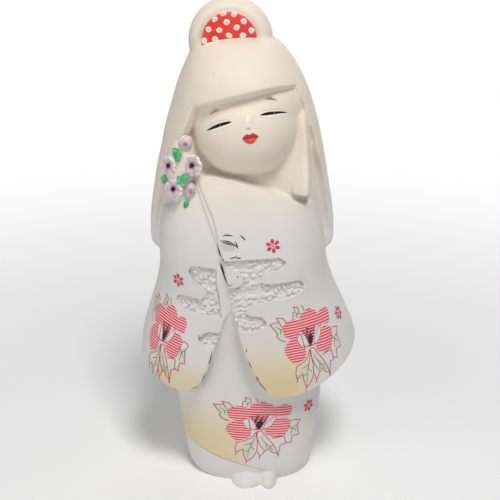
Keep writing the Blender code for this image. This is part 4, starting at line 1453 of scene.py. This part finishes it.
def make_stage():
    """A pale floor and backdrop, soft lamps, and the camera at the photograph's angle."""
    fresh()
    bpy.ops.mesh.primitive_plane_add(size=6, location=(0, 0, 0))
    floor = bpy.context.object
    floor.name = "floor"
    paper = Finish("floor_paper", 0.8)
    light = paper.grain(paper.place(), 3.0, 2.0)
    paper.use(Base_Color=paper.mix(light, tint(242, 242, 242), tint(248, 248, 248)))
    x, y, _ = paper.parts(paper.place())
    far = ((x * x + y * y) ** 0.5).rise(0.12, 0.6) * paper.node("ShaderNodeLightPath")
    glow = paper.node("ShaderNodeEmission", None, {"Color": (1, 1, 1, 1), "Strength": 1.0})
    lit = paper.node("ShaderNodeMixShader", None, (far, Value(paper, paper.shader.outputs[0]), glow))
    paper.tree.links.new(lit.socket, paper.tree.nodes["Material Output"].inputs["Surface"])
    floor.data.materials.append(paper.material)
    world = bpy.data.worlds.new("studio")
    bpy.context.scene.world = world
    world.use_nodes = True
    tree = world.node_tree
    rays = tree.nodes.new("ShaderNodeLightPath")
    seen = tree.nodes.new("ShaderNodeMath")
    seen.operation = "MAXIMUM"
    tree.links.new(rays.outputs["Is Camera Ray"], seen.inputs[0])
    tree.links.new(rays.outputs["Is Glossy Ray"], seen.inputs[1])
    clear = tree.nodes.new("ShaderNodeMath")
    clear.operation = "MAXIMUM"
    tree.links.new(seen.outputs[0], clear.inputs[0])
    tree.links.new(rays.outputs["Is Transmission Ray"], clear.inputs[1])
    background = tree.nodes["Background"]
    background.inputs["Color"].default_value = (1, 1, 1, 1)
    background.inputs["Strength"].default_value = 0.24
    white = tree.nodes.new("ShaderNodeBackground")
    white.inputs["Color"].default_value = (1, 1, 1, 1)
    white.inputs["Strength"].default_value = 1.0
    mix = tree.nodes.new("ShaderNodeMixShader")
    tree.links.new(clear.outputs[0], mix.inputs[0])
    tree.links.new(background.outputs[0], mix.inputs[1])
    tree.links.new(white.outputs[0], mix.inputs[2])
    tree.links.new(mix.outputs[0], tree.nodes["World Output"].inputs["Surface"])
    aim = Vector((0, 0, 0.14))
    for name, place, size, power in (
        ("key_lamp", (0.16, -0.56, 1.20), 0.32, 9.6),
        ("left_lamp", (-0.8, -0.75, 0.35), 0.8, 2.2),
        ("back_lamp", (0.2, 0.9, 0.8), 0.8, 2.4),
    ):
        bpy.ops.object.light_add(type="AREA", location=place)
        lamp = bpy.context.object
        lamp.name = name
        lamp.data.size = size
        lamp.data.energy = power
        lamp.rotation_euler = (Vector(place) - aim).to_track_quat("Z", "Y").to_euler()
    back = Vector((0, -math.cos(CAMERA_RISE), math.sin(CAMERA_RISE)))
    spot = (CAMERA_AIM + SET_DOWN + back * CAMERA_DISTANCE) * MM
    bpy.ops.object.camera_add(location=spot, rotation=back.to_track_quat("Z", "Y").to_euler())
    camera = bpy.context.object
    camera.name = "camera"
    camera.data.sensor_width = 36
    camera.data.lens = CAMERA_LENS
    camera.data.clip_start = 0.01
    bpy.context.scene.camera = camera
    bpy.context.scene.view_settings.view_transform = "Standard"


# Operators


class DOLL_OT_clay(bpy.types.Operator):
    """Presses the masses of the doll together and carves them"""

    bl_idname = "doll.clay"
    bl_label = "Clay figure"

    def execute(self, context):
        settings = context.scene.doll_clay_settings
        masses = [skirt_and_torso(), outer_sleeve(), inner_sleeve(), collar_band(), *back_sleeves()]
        masses += [kimono_back(), hair(), *face(), ball("neck", (CENTRE_X + 2, -6, 186), (25, 20, 24))]
        clay = join("doll_clay", masses + [side_lock(), *bun(), *foot(), flower_bed()])
        apply_modifier(clay, "REMESH", mode="VOXEL", voxel_size=settings.grain / MM)
        apply_modifier(clay, "SMOOTH", factor=0.5, iterations=4)
        soften_face(clay)
        apply_modifier(clay, "DECIMATE", ratio=min(1.0, CLAY_TRIANGLES / (2 * len(clay.data.polygons))))
        carve_clouds(clay)
        hollow_out(clay)
        set_down(clay)
        shade(clay, 50)
        hand_over(clay, clay_finish(settings))
        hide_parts("doll")
        return {"FINISHED"}


class DOLL_OT_face(bpy.types.Operator):
    """Paints the eyes with painted glints and painted highlights under them, their lids, the brows and the
    lips
    """

    bl_idname = "doll.face"
    bl_label = "Face paint"

    def execute(self, context):
        paint_face(find_clay(), context.scene.doll_paint_settings)
        return {"FINISHED"}


class DOLL_OT_pad(bpy.types.Operator):
    """Fits the dotted pad into the bun"""

    bl_idname = "doll.pad"
    bl_label = "Bun pad"

    def execute(self, context):
        make_pad(context.scene.doll_paint_settings)
        return {"FINISHED"}


class DOLL_OT_flowers(bpy.types.Operator):
    """Models the flowers, buds and leaves in the hair"""

    bl_idname = "doll.flowers"
    bl_label = "Hair flowers"

    def execute(self, context):
        make_flowers(context.scene.doll_paint_settings)
        return {"FINISHED"}


class DOLL_OT_peonies(bpy.types.Operator):
    """Prints the peonies on both sleeves and the skirt"""

    bl_idname = "doll.peonies"
    bl_label = "Peony prints"

    def execute(self, context):
        print_peonies(find_clay(), context.scene.doll_paint_settings)
        return {"FINISHED"}


class DOLL_OT_small_flowers(bpy.types.Operator):
    """Prints the small red flowers"""

    bl_idname = "doll.small_flowers"
    bl_label = "Small flowers"

    def execute(self, context):
        print_small_flowers(find_clay(), context.scene.doll_paint_settings)
        return {"FINISHED"}


class DOLL_OT_wear(bpy.types.Operator):
    """Draws the chips and worn edges"""

    bl_idname = "doll.wear"
    bl_label = "Wear"

    def execute(self, context):
        wear(find_clay(), context.scene.doll_paint_settings)
        return {"FINISHED"}


class DOLL_OT_stage(bpy.types.Operator):
    """Sets up the floor, lamps and camera"""

    bl_idname = "doll.stage"
    bl_label = "Stage"

    def execute(self, context):
        make_stage()
        return {"FINISHED"}


OPERATORS = (
    DOLL_OT_clay,
    DOLL_OT_face,
    DOLL_OT_pad,
    DOLL_OT_flowers,
    DOLL_OT_peonies,
    DOLL_OT_small_flowers,
    DOLL_OT_wear,
    DOLL_OT_stage,
)


class DOLL_PT_panel(bpy.types.Panel):
    bl_label = "Clay Doll"
    bl_idname = "DOLL_PT_panel"
    bl_space_type = "VIEW_3D"
    bl_region_type = "UI"
    bl_category = "Clay Doll"

    def draw(self, context):
        for settings in (context.scene.doll_clay_settings, context.scene.doll_paint_settings):
            for name in settings.__annotations__:
                self.layout.prop(settings, name)
        for operator in OPERATORS:
            self.layout.operator(operator.bl_idname)


CLASSES = (ClaySettings, PaintSettings, *OPERATORS, DOLL_PT_panel)


def register():
    for cls in CLASSES:
        bpy.utils.register_class(cls)
    bpy.types.Scene.doll_clay_settings = PointerProperty(type=ClaySettings)
    bpy.types.Scene.doll_paint_settings = PointerProperty(type=PaintSettings)


def unregister():
    del bpy.types.Scene.doll_paint_settings
    del bpy.types.Scene.doll_clay_settings
    for cls in reversed(CLASSES):
        bpy.utils.unregister_class(cls)


def main():
    register()
    bpy.ops.doll.stage()
    bpy.ops.doll.clay()
    bpy.ops.doll.face()
    bpy.ops.doll.pad()
    bpy.ops.doll.flowers()
    bpy.ops.doll.peonies()
    bpy.ops.doll.small_flowers()
    bpy.ops.doll.wear()


if __name__ == "__main__":
    main()
